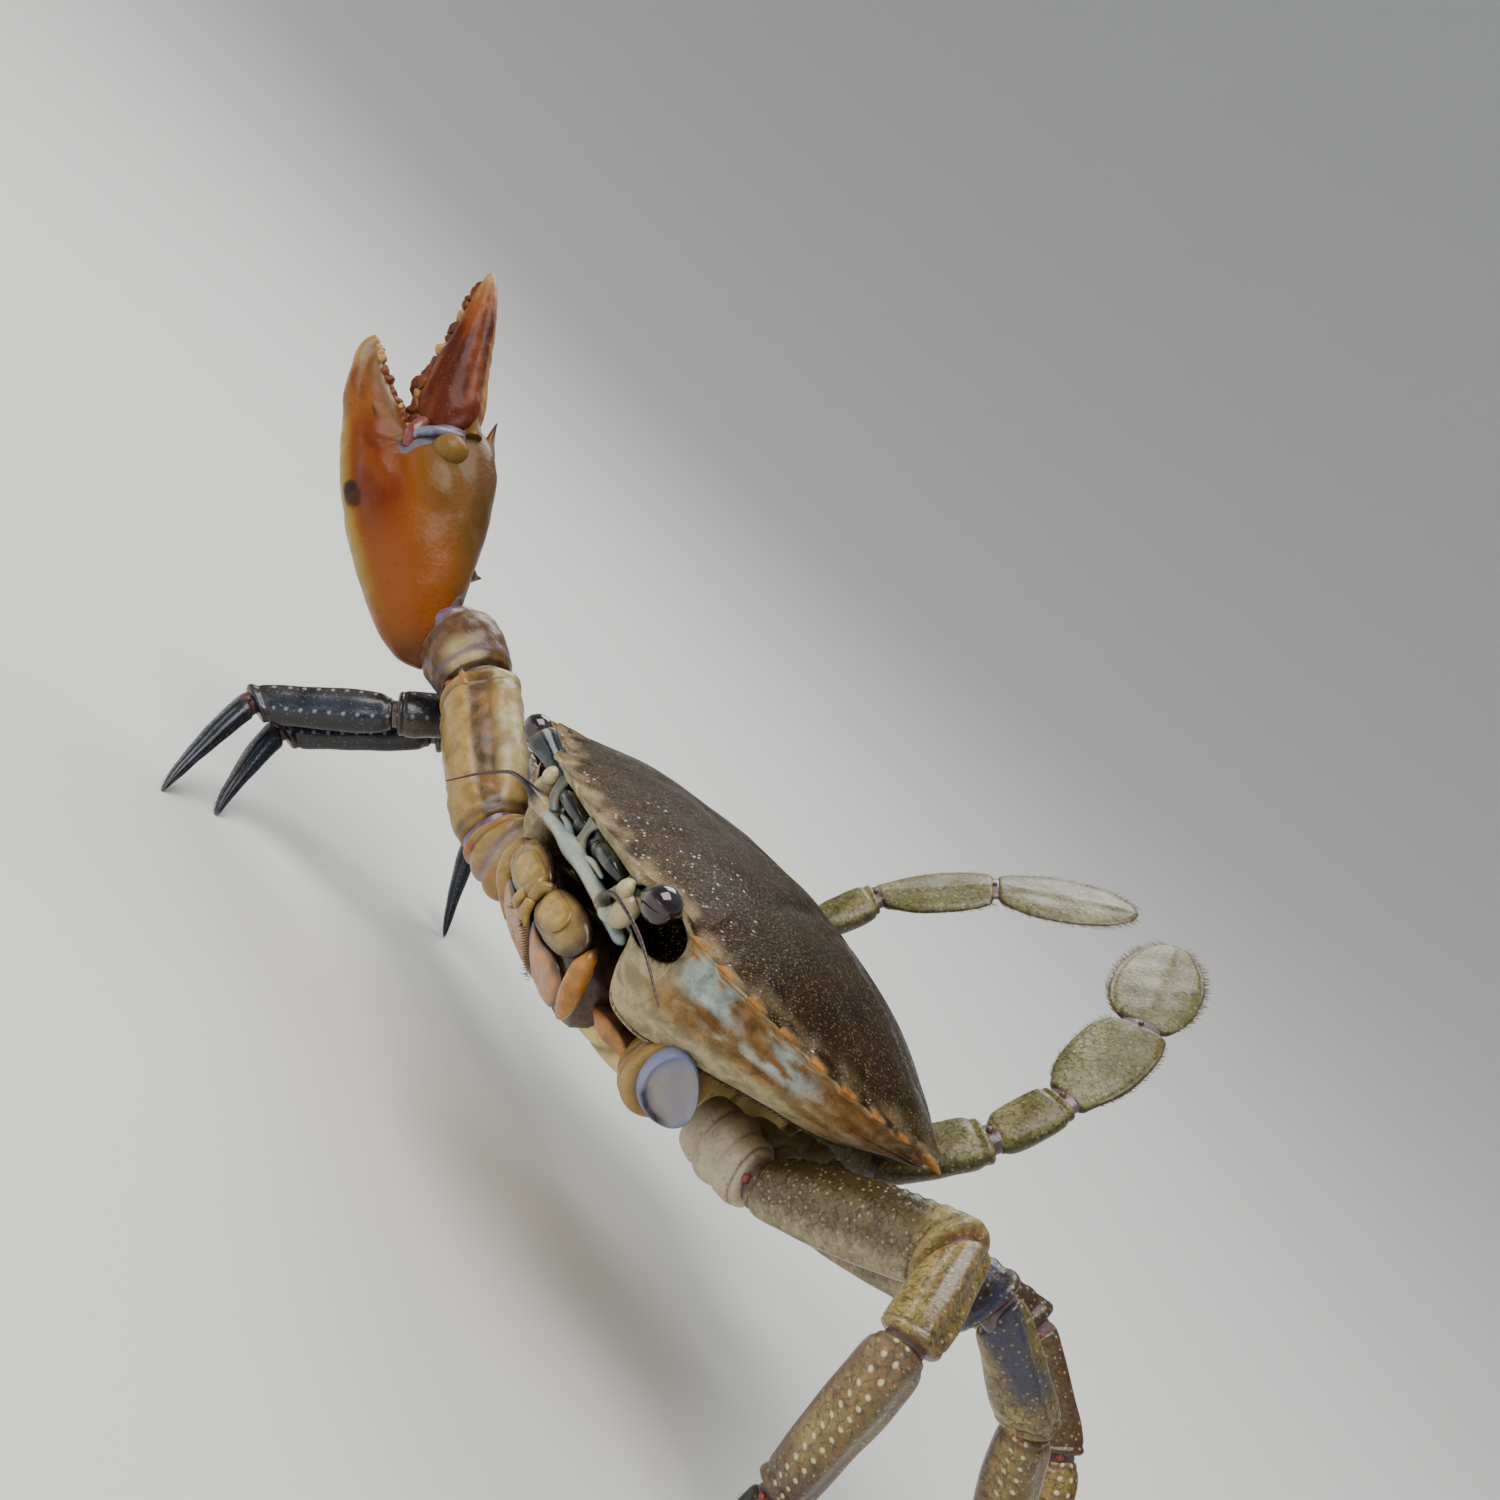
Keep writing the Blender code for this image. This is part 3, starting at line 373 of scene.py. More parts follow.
def fleck_nodes(group, entry):
    """Small round flecks in a share of the cells."""
    cells = put(group, "ShaderNodeTexVoronoi", {"Vector": in_cells(group, entry), "Scale": 1})
    inside = fade(group, cells.outputs["Distance"], entry["Radius"], 0.12)
    chance = put(group, "ShaderNodeSeparateColor", {"Color": cells.outputs["Color"]})
    chosen = calc(group, "LESS_THAN", chance.outputs["Red"], entry["Share"])
    return calc(group, "MULTIPLY", inside, chosen)


def net_nodes(group, entry):
    """Wandering dark lines that join into a net and are worn away in places."""
    cells = in_cells(group, entry)
    drift = put(group, "ShaderNodeTexNoise", {"Vector": cells, "Scale": 1.3, "Detail": 3})
    push = put(group, "ShaderNodeVectorMath", {
        0: drift.outputs["Color"], "Scale": entry["Warp"],
    }, operation="SCALE")
    moved = put(group, "ShaderNodeVectorMath", {0: cells, 1: push.outputs[0]}, operation="ADD")
    edges = put(group, "ShaderNodeTexVoronoi", {
        "Vector": moved.outputs[0], "Scale": 1,
    }, feature="DISTANCE_TO_EDGE")
    lines = fade(group, edges.outputs["Distance"], entry["Width"], 0)
    worn = put(group, "ShaderNodeMapRange", {
        "Value": drift.outputs["Fac"], "From Min": 0.36, "From Max": 0.56,
    })
    return calc(group, "MULTIPLY", lines, worn.outputs["Result"])


def grain_nodes(group, entry):
    """Fine uneven relief: low bumps with smaller ones on them."""
    cells = in_cells(group, entry)
    bumps = put(group, "ShaderNodeTexVoronoi", {"Vector": cells, "Scale": 1}, feature="SMOOTH_F1")
    fine = put(group, "ShaderNodeTexNoise", {"Vector": cells, "Scale": 1.6, "Detail": 3})
    return put(group, "ShaderNodeMix", {
        "Factor": entry["Roundness"], "A": fine.outputs["Fac"],
        "B": calc(group, "SUBTRACT", 1, bumps.outputs["Distance"]),
    }, data_type="FLOAT").outputs["Result"]


def bead_nodes(group, entry):
    """One row of round beads along a limb, at a share of the way around it."""
    place = put(group, "ShaderNodeSeparateXYZ", {0: entry["Place"]})
    share = calc(group, "FRACT", calc(group, "DIVIDE", place.outputs["Y"], entry["Pitch"]))
    along = calc(group, "MULTIPLY", calc(group, "SUBTRACT", share, 0.5), entry["Pitch"])
    beside = calc(group, "SUBTRACT", place.outputs["X"], entry["Row"])
    across = calc(group, "MULTIPLY", beside, entry["Girth"])
    offset = put(group, "ShaderNodeCombineXYZ", {"X": along, "Y": across})
    distance = put(group, "ShaderNodeVectorMath", {0: offset.outputs[0]}, operation="LENGTH")
    core = calc(group, "MULTIPLY", entry["Radius"], 0.45)
    return fade(group, distance.outputs["Value"], entry["Radius"], core)


MOTTLES = effect_group("mottles", {"Spacing": 6, "Softness": 0.12}, mottle_nodes)
FLECKS = effect_group("flecks", {"Spacing": 1.2, "Radius": 0.35, "Share": 0.6}, fleck_nodes)
NET = effect_group("net", {"Spacing": 2.4, "Width": 0.16, "Warp": 1.2}, net_nodes)
GRAIN = effect_group("grain", {"Spacing": 0.9, "Roundness": 0.5}, grain_nodes)
BEAD_ROW = effect_group("bead_row", {
    "Row": 0.25, "Pitch": 3.2, "Radius": 0.75, "Girth": 30,
}, bead_nodes)
MIX_BELOW, MIX_ABOVE, MIX_RESULT = 6, 7, 2
CLOUD_SOFTNESS = 0.16
NET_STRENGTH = 0.8
FILM_SPACING = 9
FILM_SOFTNESS = 0.2
BUMP_STRENGTH = 0.8
FLESH_RADII = (0.9, 0.5, 0.25)
FLESH_DEPTH = 2 * MM


def shell_finish(name, mottle, flecks, gloss, grain, net=None, beads=None, coat=0.4, coat_roughness=0.12,
                 flesh=0, shine=0.4, wet=None):
    """Material of a hard wet surface over the piece's own paint.

    mottle is (spacing, strength, colour), flecks (spacing, radius, share, strength, colour),
    gloss the lowest and highest roughness, grain (spacing, depth), net (spacing, width, colour),
    and beads (rows, pitch, radius, girth, colour), with spacings and depths in millimetres.
    wet is (spacing, radius, share) of drops that shine on a duller surface.
    """
    material = bpy.data.materials.new(name)
    material.use_nodes = True
    tree = material.node_tree
    shader = tree.nodes["Principled BSDF"]
    place = put(tree, "ShaderNodeTexCoord").outputs["Object"]
    paint = put(tree, "ShaderNodeAttribute", attribute_name="paint", attribute_type="GEOMETRY")
    pattern = paint.outputs["Alpha"]

    def effect(group, where, **sizes):
        return put(tree, "ShaderNodeGroup", {"Place": where, **sizes}, node_tree=group).outputs["Mask"]

    def over(below, mask, strength, colour):
        amount = calc(tree, "MULTIPLY", mask, strength, use_clamp=True)
        mixed = put(tree, "ShaderNodeMix", {
            "Factor": amount, MIX_BELOW: below, MIX_ABOVE: (*colour[:3], 1),
        }, data_type="RGBA")
        return mixed.outputs[MIX_RESULT]

    spacing, strength, colour = mottle
    clouds = effect(MOTTLES, place, Spacing=spacing, Softness=CLOUD_SOFTNESS)
    surface = over(paint.outputs["Color"], clouds, strength, colour)
    spacing, radius, share, strength, colour = flecks
    dots = effect(FLECKS, place, Spacing=spacing, Radius=radius, Share=share)
    surface = over(surface, dots, strength, colour)
    height = effect(GRAIN, place, Spacing=grain[0])
    if net:
        spacing, width, colour = net
        lines = effect(NET, place, Spacing=spacing, Width=width)
        surface = over(surface, calc(tree, "MULTIPLY", lines, pattern), NET_STRENGTH, colour)
    if beads:
        rows, pitch, radius, girth, colour = beads
        skin_place = put(tree, "ShaderNodeUVMap", uv_map="skin").outputs["UV"]
        for row in rows:
            row_mask = effect(BEAD_ROW, skin_place, Row=row, Pitch=pitch, Radius=radius, Girth=girth)
            shown = calc(tree, "MULTIPLY", row_mask, pattern)
            surface = over(surface, shown, 1, colour)
            height = calc(tree, "ADD", height, shown)
    tree.links.new(surface, shader.inputs["Base Color"])
    film = effect(MOTTLES, place, Spacing=FILM_SPACING, Softness=FILM_SOFTNESS)
    rough = put(tree, "ShaderNodeMapRange", {"Value": film, "To Min": gloss[0], "To Max": gloss[1]})
    tree.links.new(rough.outputs["Result"], shader.inputs["Roughness"])
    bump = put(tree, "ShaderNodeBump", {
        "Height": height, "Strength": BUMP_STRENGTH, "Distance": grain[1] * MM,
    })
    tree.links.new(bump.outputs["Normal"], shader.inputs["Normal"])
    if wet:
        drops = effect(FLECKS, place, Spacing=wet[0], Radius=wet[1], Share=wet[2])
        tree.links.new(drops, shader.inputs["Coat Weight"])
    else:
        shader.inputs["Coat Weight"].default_value = coat
    shader.inputs["Coat Roughness"].default_value = coat_roughness
    shader.inputs["Specular IOR Level"].default_value = shine
    if flesh:
        shader.inputs["Subsurface Weight"].default_value = flesh
        shader.inputs["Subsurface Radius"].default_value = FLESH_RADII
        shader.inputs["Subsurface Scale"].default_value = FLESH_DEPTH
    return material


TOOTH_COUNT = 9
TOOTH_FALL = 0.74
TOOTH_ARC_CENTRE = (24, 2)
TOOTH_ARC_RADIUS = 52.6
TOOTH_ROOT_RADIUS = 49
TOOTH_FIRST_ANGLE = -67
TOOTH_ANGLE_STEP = 8.56
TOOTH_HOOK = 1.3
LAST_TOOTH_EXTRA = 4.4
COLUMNS_PER_TOOTH = 14
FRONT_EDGE = -50.6
FRONT_TOOTH_HEIGHT = 3
FRONT_TOOTH_MIDDLES = (6, 18)
FRONT_CORNER = 24
REAR_EDGE = 51.6
REAR_EDGE_HEIGHT = -4
TOP, RIM_TOP, RIM_UNDER, FLANK, UNDERSIDE = range(5)
EDGE_SMOOTHING = 180
MIDDLE_FURROW = ((20, -14), (14, -4), (9, 6), (8, 16), (11, 26))
DOME_SWELLS = (
    ((0, -22), (8, 12), 0.5), ((14, -26), (8, 9), 0.8), ((38, -20), (13, 10), 0.7),
    ((0, 6), (9, 8), 0.6), ((0, 30), (8, 8), 0.9), ((33, 24), (18, 13), 1),
)
DOME_FURROWS = (
    (MIDDLE_FURROW, 2.6, 0.7), (((-8, 15), (8, 15)), 2.2, 0.5), (((14, -4), (24, -4), (34, -9)), 3.6, 0.3),
    (((72, 4.5), (58, 8.5), (42, 8.5), (26, 4)), 2.6, -0.25), (((4, -44), (4, -36)), 1.4, 0.5),
)
ORBIT_MIDDLE = (33.2, -47.2, -4.6)
ORBIT_HALF_SIZES = (9.2, 8.6, 5.2)

SHELL_BROWN = tone(70, 52, 24)
SHELL_OLIVE = tone(70, 60, 24)
SHELL_DARK = tone(44, 33, 20)
SHELL_RIM = tone(188, 166, 132)
TOOTH_AMBER = tone(206, 154, 90)
FLANK_OCHRE = tone(192, 160, 114)
FLANK_BROWN = tone(142, 102, 64)
FLANK_CREAM = tone(222, 208, 172)
FLANK_PALE_BLUE = tone(214, 226, 220)
# Near black painted shade for the insides of the eye hollows and the mouth.
HOLLOW_SHADE_BLACK = tone(22, 17, 16)


def swell(x, y, middle, reach, height):
    """Height of a soft swelling of the shell."""
    return height * np.exp(-((x - middle[0]) / reach[0]) ** 2 - ((y - middle[1]) / reach[1]) ** 2)


def furrow(x, y, line, width, depth):
    """Height of a soft groove, or of a ridge where depth is below 0, along a line of points."""
    nearest = np.full(np.shape(x), 1e9)
    for (x0, y0), (x1, y1) in zip(line[:-1], line[1:]):
        run, rise = x1 - x0, y1 - y0
        share = np.clip(((x - x0) * run + (y - y0) * rise) / (run ** 2 + rise ** 2), 0, 1)
        nearest = np.minimum(nearest, np.hypot(x - x0 - share * run, y - y0 - share * rise))
    return -depth * np.exp(-(nearest / width) ** 2)


def carapace_columns():
    """Outline of the shell, column by column from the front to the rear and back.

    Each holds a point on the teeth, one on the even margin, one on the flank's lower edge, the
    height of the tooth there and the share of the half outline.
    """
    columns = []

    def add(tips, roots, edges, teeth, shares):
        measures = [np.broadcast_to(values, len(tips)) for values in (teeth, shares)]
        columns.append(np.column_stack((tips, roots, edges, *measures)))

    edge_keys = (0, 0.05, 0.1, 0.18, 0.28, 0.42, 0.58, 0.7, 0.78, 0.86, 0.94, 1)
    edge_places = (
        (25.5, -43, -6), (27, -41, -16), (28.5, -38.5, -21.5), (33, -33, -23.8),
        (41, -27.5, -21), (51, -18, -16.5), (61, -4, -12), (67.5, 5, -6),
        (67, 11.5, -4.5), (55, 22, -8.5), (39, 37.5, -11), (29, 45, -11.5),
    )

    x = np.linspace(0, FRONT_CORNER, 41)
    base = FRONT_EDGE + x / FRONT_CORNER
    lobe = sum(
        np.cos(0.5 * math.pi * np.clip((x - middle) / 5.4, -1, 1)) ** 1.1 for middle in FRONT_TOOTH_MIDDLES
    )
    add(
        places_at(x, base - FRONT_TOOTH_HEIGHT * lobe, 0), places_at(x, base, 0),
        places_at(x, base + 6, -3.2), 0, -0.02,
    )

    keys = (0, 0.12, 0.24, 0.34, 0.56, 0.84, 1)
    corner = (
        (24, -49.6, 0), (26, -50.8, 0), (28, -48.2, 0.3), (29.6, -46.6, 0.5),
        (34, -44.9, 0.8), (40.2, -44.3, 0.5), (43.2, -45, 0.2),
    )
    share = np.linspace(0, 1, 26)[1:]
    tips = eased(share, keys, corner)
    notch = sum(0.7 * np.exp(-((tips[:, 0] - place) / 0.5) ** 2) for place in (31.6, 37))
    roots = tips.copy()
    tips[:, 1] += notch - 0.25
    edges = eased(np.clip(share - 0.12, 0, 1) / 0.88 * 0.17, edge_keys, edge_places)
    blend = ramp(share, 0, 0.14)[:, None]
    edges = edges * blend + np.array((24.6, -43.4, -3.6)) * (1 - blend)
    add(tips, roots, edges, 0, 0.16 * share)

    for tooth in range(TOOTH_COUNT):
        phase = np.arange(COLUMNS_PER_TOOTH) / COLUMNS_PER_TOOTH
        if tooth == TOOTH_COUNT - 1:
            phase = phase[phase < TOOTH_FALL]
        reach = TOOTH_ARC_RADIUS + (LAST_TOOTH_EXTRA if tooth == TOOTH_COUNT - 1 else 0)
        reach_next = TOOTH_ARC_RADIUS + (LAST_TOOTH_EXTRA if tooth == TOOTH_COUNT - 2 else 0)
        fall = np.clip(1 - (phase / TOOTH_FALL) ** 1.2, 0, 1)
        rise = np.clip((phase - TOOTH_FALL) / (1 - TOOTH_FALL), 0, 1) ** 1.5
        height = (reach - TOOTH_ROOT_RADIUS) * fall + (reach_next - TOOTH_ROOT_RADIUS) * rise
        weight = np.maximum(fall, rise)
        angle = np.radians(TOOTH_FIRST_ANGLE + TOOTH_ANGLE_STEP * (tooth + phase))
        hooked = angle - math.radians(TOOTH_HOOK) * weight ** 2
        radius = TOOTH_ROOT_RADIUS + 0.25 + height
        share = 0.18 + 0.56 * (tooth + phase) / TOOTH_COUNT
        centre_x, centre_y = TOOTH_ARC_CENTRE
        tips = places_at(
            centre_x + radius * np.cos(hooked), centre_y + radius * np.sin(hooked), 0.25 * weight,
        )
        roots = places_at(
            centre_x + TOOTH_ROOT_RADIUS * np.cos(angle), centre_y + TOOTH_ROOT_RADIUS * np.sin(angle), 0,
        )
        add(tips, roots, eased(share, edge_keys, edge_places), weight, share)

    share = np.linspace(0, 1, 34)
    weights = np.column_stack(((1 - share) ** 2, 2 * share * (1 - share), share ** 2))
    place = weights @ np.array(((70.5, 13.5, -0.5), (56, 29, -2), (29.5, 49, -4)))
    add(place, place, eased(0.78 + 0.22 * share, edge_keys, edge_places), 0, 0.78 + 0.22 * share)
    x = np.linspace(28.5, 0, 26)
    place = places_at(x, REAR_EDGE - 0.0026 * x * x, REAR_EDGE_HEIGHT)
    add(place, place, places_at(x, 47.3, -11.5), 0, 1.02)
    half = np.concatenate(columns)
    other = half[-2:0:-1].copy()
    other[:, (0, 3, 6)] *= -1
    return np.concatenate((half, other))


columns = carapace_columns()
tip, root, edge = columns[:, 0:3], columns[:, 3:6], columns[:, 6:9]
tooth_weight, outline_share = columns[:, 9], columns[:, 10]
centre = np.array((0, 2, 0))
even_root = root
for _ in range(EDGE_SMOOTHING):
    even_root = 0.5 * even_root + 0.25 * (np.roll(even_root, 1, axis=0) + np.roll(even_root, -1, axis=0))
rows, row_kind = [], []
for share in np.concatenate((np.linspace(0.04, 0.8, 26), np.linspace(0.82, 0.985, 13))):
    rim_place = even_root + (root - even_root) * ramp(share, 0.72, 0.985)
    ring = centre + (rim_place - centre) * share
    ring[:, 2] = rim_place[:, 2] * share ** 2 + DOME_HEIGHT * (1 - share ** 2.1) ** 0.88
    side_x, front_y = np.abs(ring[:, 0]), ring[:, 1]
    inside = ramp(share, 1, 0.86)
    relief = sum(swell(side_x, front_y, *sizes) for sizes in DOME_SWELLS)
    relief += sum(furrow(side_x, front_y, *sizes) for sizes in DOME_FURROWS)
    ring[:, 2] += relief * inside + 0.12 * wander(ring, 7, 3)
    near_margin = ramp(share, 0.84, 0.985)
    notched = ramp(outline_share, 0.15, 0.18) * ramp(outline_share, 0.78, 0.74)
    ring[:, 2] += near_margin * notched * (0.75 * tooth_weight - 0.45)
    rows.append(ring)
    row_kind.append((TOP, share))
for rim_kind, lift, shares in (
    (RIM_TOP, 0.75 + 0.55 * tooth_weight, (0, 0.3, 0.6, 0.85, 1)),
    (RIM_UNDER, -1 - 0.5 * tooth_weight, (0.85, 0.6, 0.3, 0)),
):
    for share in shares:
        ring = root + (tip - root) * share
        ring[:, 2] += lift * (1 - share) ** 0.8
        rows.append(ring)
        row_kind.append((rim_kind, share))
low_start = root + (edge - root) * 0.16
low_start[:, 2] = root[:, 2] - np.where(edge[:, 2] > -3.5, 1.9, 2.5)
outward = unit((root + 0.5 * (edge - root) - centre) * (1, 1, 0))
bulge = np.minimum(3.4, 0.15 * np.linalg.norm(root - edge, axis=1))
for share in np.linspace(0, 1, 22):
    ring = low_start + (edge - low_start) * share
    ring += outward * (bulge * 4 * share * (1 - share))[:, None]
    suture = 0.62 - 0.34 * ramp(outline_share, 0.1, 0.6)
    groove = np.exp(-((share - suture) / 0.035) ** 2) * ramp(outline_share, 0.04, 0.12)
    groove *= ramp(outline_share, 0.95, 0.7)
    ring -= outward * (0.7 * groove)[:, None]
    ring += outward * (0.5 * ramp(share, 0.86, 0.97) * ramp(share, 1.02, 0.98))
    ring += outward * (0.16 * wander(ring, 5, 8))[:, None]
    rows.append(ring)
    row_kind.append((FLANK, share))
for share in (0.9, 0.75, 0.55, 0.3):
    ring = centre + (edge - centre) * share
    front_part = np.clip((-16 - edge[:, 1]) / 16, 0, 1)
    ring[:, 0] = edge[:, 0] * (share + 0.5 * (1 - share) * front_part)
    shallow = np.where(np.abs(edge[:, 0]) < 26, np.clip((-18 - ring[:, 1]) / 18, 0, 1), 0)
    depth = -12 * (1 - shallow) - 4.5 * shallow
    ring[:, 2] = edge[:, 2] * ramp(share, 0.7, 1) + depth * (1 - ramp(share, 0.7, 1))
    rows.append(ring)
    row_kind.append((UNDERSIDE, share))
shell_grid = np.array(rows)
kind, row_share = np.array(row_kind).T[..., None]

half_grid = shell_grid.copy()
half_grid[..., 0] = np.abs(half_grid[..., 0])
cloud = wander(shell_grid, 14, 11)
fine_cloud = wander(shell_grid, 4, 12)
margin_place = places_at(52 * outline_share, 24 * row_share, 6 * np.sign(shell_grid[..., 0]))
streak = wander(margin_place, 3.2, 13) + 0.3 * wander(shell_grid, 2, 14)
on_top = kind <= RIM_TOP
on_flank = (kind == RIM_UNDER) | (kind == FLANK)
on_rim = (kind == RIM_TOP) | (kind == RIM_UNDER)
ahead = ramp(outline_share, 0.5, 0.1)
rim = np.where(kind == TOP, ramp(row_share, 0.9, 0.985), 1) * on_top
furrows = furrow(half_grid[..., 0], half_grid[..., 1], MIDDLE_FURROW, 3, -1)


def blue_patch(middle, reach, low, high):
    """Mask of a pale blue patch on the flank, broken up by the streaks."""
    return on_flank * spot(half_grid, middle, reach) * ramp(streak, low, high)


shell_paint = layered(
    SHELL_BROWN, shell_grid,
    (0.7 * ramp(cloud, -0.3, 0.9), SHELL_OLIVE),
    (0.6 * ramp(fine_cloud, 0, 1.1), SHELL_DARK),
    (0.5 * furrows * on_top, SHELL_DARK),
    (0.35 * ramp(half_grid[..., 1], -30, -50) * on_top, tone(116, 96, 62)),
    (rim * (0.35 + 0.55 * ahead) * ramp(fine_cloud, -1.2, 0.6), SHELL_RIM),
    (on_flank, FLANK_OCHRE),
    (on_flank * 0.6 * ramp(streak, 0.1, 1.1), FLANK_BROWN),
    (on_flank * 0.7 * ramp(streak, -0.2, -1), FLANK_CREAM),
    (on_flank * ramp(row_share, 0.5, 0.72) * ramp(outline_share, 0.6, 0.42), FLANK_CREAM),
    (on_flank * ramp(outline_share, 0.19, 0.1), FLANK_CREAM),
    (on_flank * 0.8 * ramp(outline_share, 0.5, 0.72), FLANK_BROWN),
    (blue_patch((47.5, -37.5, -4.5), (13, 10, 6.6), 1, 0.1), FLANK_PALE_BLUE),
    (blue_patch((61, -26, -5), (10, 13, 5.4), 0.6, 0.1), FLANK_PALE_BLUE),
    (blue_patch((53, -31, -9.5), (13, 10, 2.6), 0.3, -0.3), FLANK_PALE_BLUE),
    (on_rim * ramp(row_share, 0.25, 0.8) * ramp(tooth_weight, 0.35, 0.8), TOOTH_AMBER),
    ((kind == FLANK) * (row_share < 0.03) * ramp(tooth_weight, 0.5, 0.9), TOOTH_AMBER),
    (kind == UNDERSIDE, tone(120, 100, 70)),
)


def ellipsoid(middle, half_sizes, colour, rows=18, columns=28):
    """Closed rounded surface about a middle."""
    return skin(np.array(middle) + ball(rows, columns, 0.06) * half_sizes, colour)


CARAPACE_FINISH = shell_finish(
    "wet_carapace", (4, 0.5, tone(56, 42, 24)), (0.7, 0.44, 0.45, 0.5, tone(182, 164, 122)),
    (0.26, 0.44), (0.8, 0.45), coat_roughness=0.05, shine=0.04, wet=(1.1, 0.4, 0.22),
)
carapace = make_piece("carapace", [skin(shell_grid, shell_paint)], CARAPACE_FINISH, ["shell"])
source_points = MIDDLE + shell_grid.reshape(-1, 3) * MM
finder = KDTree(len(source_points))
for number, point in enumerate(source_points):
    finder.insert(point, number)
finder.balance()
for side in (1, -1):
    hollow = ellipsoid(mirrored(side, ORBIT_MIDDLE), ORBIT_HALF_SIZES, HOLLOW_SHADE_BLACK, 26, 40)
    cutter = make_piece("orbit_cutter", [hollow], CARAPACE_FINISH)
    cut = carapace.modifiers.new("orbit", "BOOLEAN")
    cut.operation = "DIFFERENCE"
    cut.object = cutter
    cut.solver = "EXACT"
    finished = carapace.evaluated_get(bpy.context.evaluated_depsgraph_get())
    cut_mesh = bpy.data.meshes.new_from_object(finished)
    carapace.modifiers.clear()
    carapace.data = cut_mesh
    bpy.data.objects.remove(cutter)
flat_paint = shell_paint.reshape(-1, 4)
cut_points = np.empty(3 * len(cut_mesh.vertices))
cut_mesh.vertices.foreach_get("co", cut_points)
cut_points = cut_points.reshape(-1, 3)
new_paint = np.array([flat_paint[finder.find(point)[1]] for point in cut_points])
local = (cut_points - MIDDLE) / MM
local[:, 0] = np.abs(local[:, 0])
orbit_distance = np.linalg.norm((local - ORBIT_MIDDLE) / ORBIT_HALF_SIZES, axis=1)
# A pale rim rings each eye hollow. Inside the hollow the shell is painted near black: painted shade.
new_paint = layered(
    new_paint, local,
    (ramp(orbit_distance, 1.2, 1.1), tone(206, 190, 158)),
    (ramp(orbit_distance, 1.02, 1), HOLLOW_SHADE_BLACK),
)
cut_mesh.attributes.remove(cut_mesh.attributes["paint"])
give(cut_mesh, "paint", "FLOAT_COLOR", new_paint)
cut_mesh.shade_smooth()
cut_mesh.set_sharp_from_angle(angle=CUT_SHARP_ANGLE)
cut_mesh.materials.clear()
cut_mesh.materials.append(CARAPACE_FINISH)


# Breastplate and tail.
# Between the legs lies one hard cream plate of fused segments, with a groove at each seam.
# The narrow tail of a male is folded flat against it, in seven hinged plates.

BREAST_CREAM = tone(250, 230, 160)
BREAST_OCHRE = tone(214, 164, 84)
SEAM_BROWN = tone(96, 70, 52)
SKIN_LILAC = tone(176, 164, 188)

BELLY_FINISH = shell_finish(
    "belly_shell", (7, 0.35, tone(188, 152, 92)), (1.6, 0.3, 0.35, 0.45, tone(150, 112, 70)),
    (0.3, 0.5), (1.4, 0.12), coat=0.25, flesh=0.05,
)

levels = eased(np.linspace(0, 1, 34), (0, 0.12, 0.35, 0.6, 0.8, 1), (
    (-37.3, 17, 20, 14), (-36.2, 26, 26, 24), (-32, 33.5, 30.5, 31),
    (-26, 36.6, 31.5, 36), (-18, 37.6, 31.5, 39.6), (-5, 37.6, 31.5, 41.6),
))
floor_shares = np.linspace(0.1, 0.95, 9)[:, None]
floor_levels = np.hstack((-37.8 + 0.5 * floor_shares ** 2, floor_shares * (17, 20, 14)))
height, half_width, front_reach, rear_reach = np.concatenate((floor_levels, levels)).T[..., None]
turn = circle(120)
across, along = np.sin(turn), -np.cos(turn)
square = (np.abs(across) ** 2.8 + np.abs(along) ** 2.8) ** (-1 / 2.8)
reach = np.where(along < 0, front_reach, rear_reach)
breast = places_at(half_width * across * square, reach * along * square, height)
seam_mask = np.zeros(breast.shape[:2])
for seam_y in (-21, -13, -3, 9, 20, 29):
    seam_place = seam_y + 0.16 * np.abs(breast[..., 0]) * np.sign(seam_y + 3)
    seam_mask = np.maximum(seam_mask, np.exp(-((breast[..., 1] - seam_place) / 0.9) ** 2))
sideways = unit(breast - (0, 4, -14))
breast -= sideways * (0.9 * seam_mask)[..., None]
breast += sideways * (0.2 * wander(breast, 6, 21))[..., None]
breast_paint = layered(
    BREAST_CREAM, breast,
    (0.6 * ramp(wander(breast, 15, 22), 0, 1.2), BREAST_OCHRE),
    (0.7 * ramp(breast[..., 2], -25, -15), tone(170, 140, 100)),
    (0.85 * seam_mask, SEAM_BROWN),
)
make_piece("breastplate", [skin(breast, breast_paint)], BELLY_FINISH, ["chest"])

TAIL_SEAMS = (0.1, 0.27, 0.42, 0.56, 0.7, 0.84)
share = np.linspace(0, 1, 90)
tail_keys = (0, 0.06, 0.2, 0.34, 0.5, 0.72, 0.88, 1)
tail_line = eased(share, tail_keys, (
    (50.4, -9.8), (50, -15), (44.5, -24.5), (35.5, -31.5), (24, -36.4), (8, -38.2), (-4, -38.2),
    (-11.3, -38),
))
tail_half_width = eased(share, tail_keys, (15, 14.5, 13.5, 12, 10, 6.6, 4, 1.5))
tail_seam = np.minimum(sum(np.exp(-((share - seam) / 0.008) ** 2) for seam in TAIL_SEAMS), 1)[:, None]
plate_crown = np.abs(np.sin(math.pi * np.interp(share, (0, *TAIL_SEAMS, 1), range(8))))[:, None]
heading = unit(np.gradient(tail_line, axis=0))
outward_y, outward_z = -heading[:, 1], heading[:, 0]
turned = np.where(outward_z > 0, -1, 1)
outward_y, outward_z = np.where(share < 0.1, np.abs(outward_y), outward_y * turned), outward_z * turned
turn = circle(40)
lift = np.where(np.sin(turn) > 0, 1.1, 1.3) * np.sign(np.sin(turn)) * np.abs(np.sin(turn)) ** 0.7
lift = lift + np.where(lift > 0, 1, 0) * (0.35 * plate_crown - 0.55 * tail_seam)
wide = tail_half_width[:, None] * (1 - 0.02 * tail_seam)
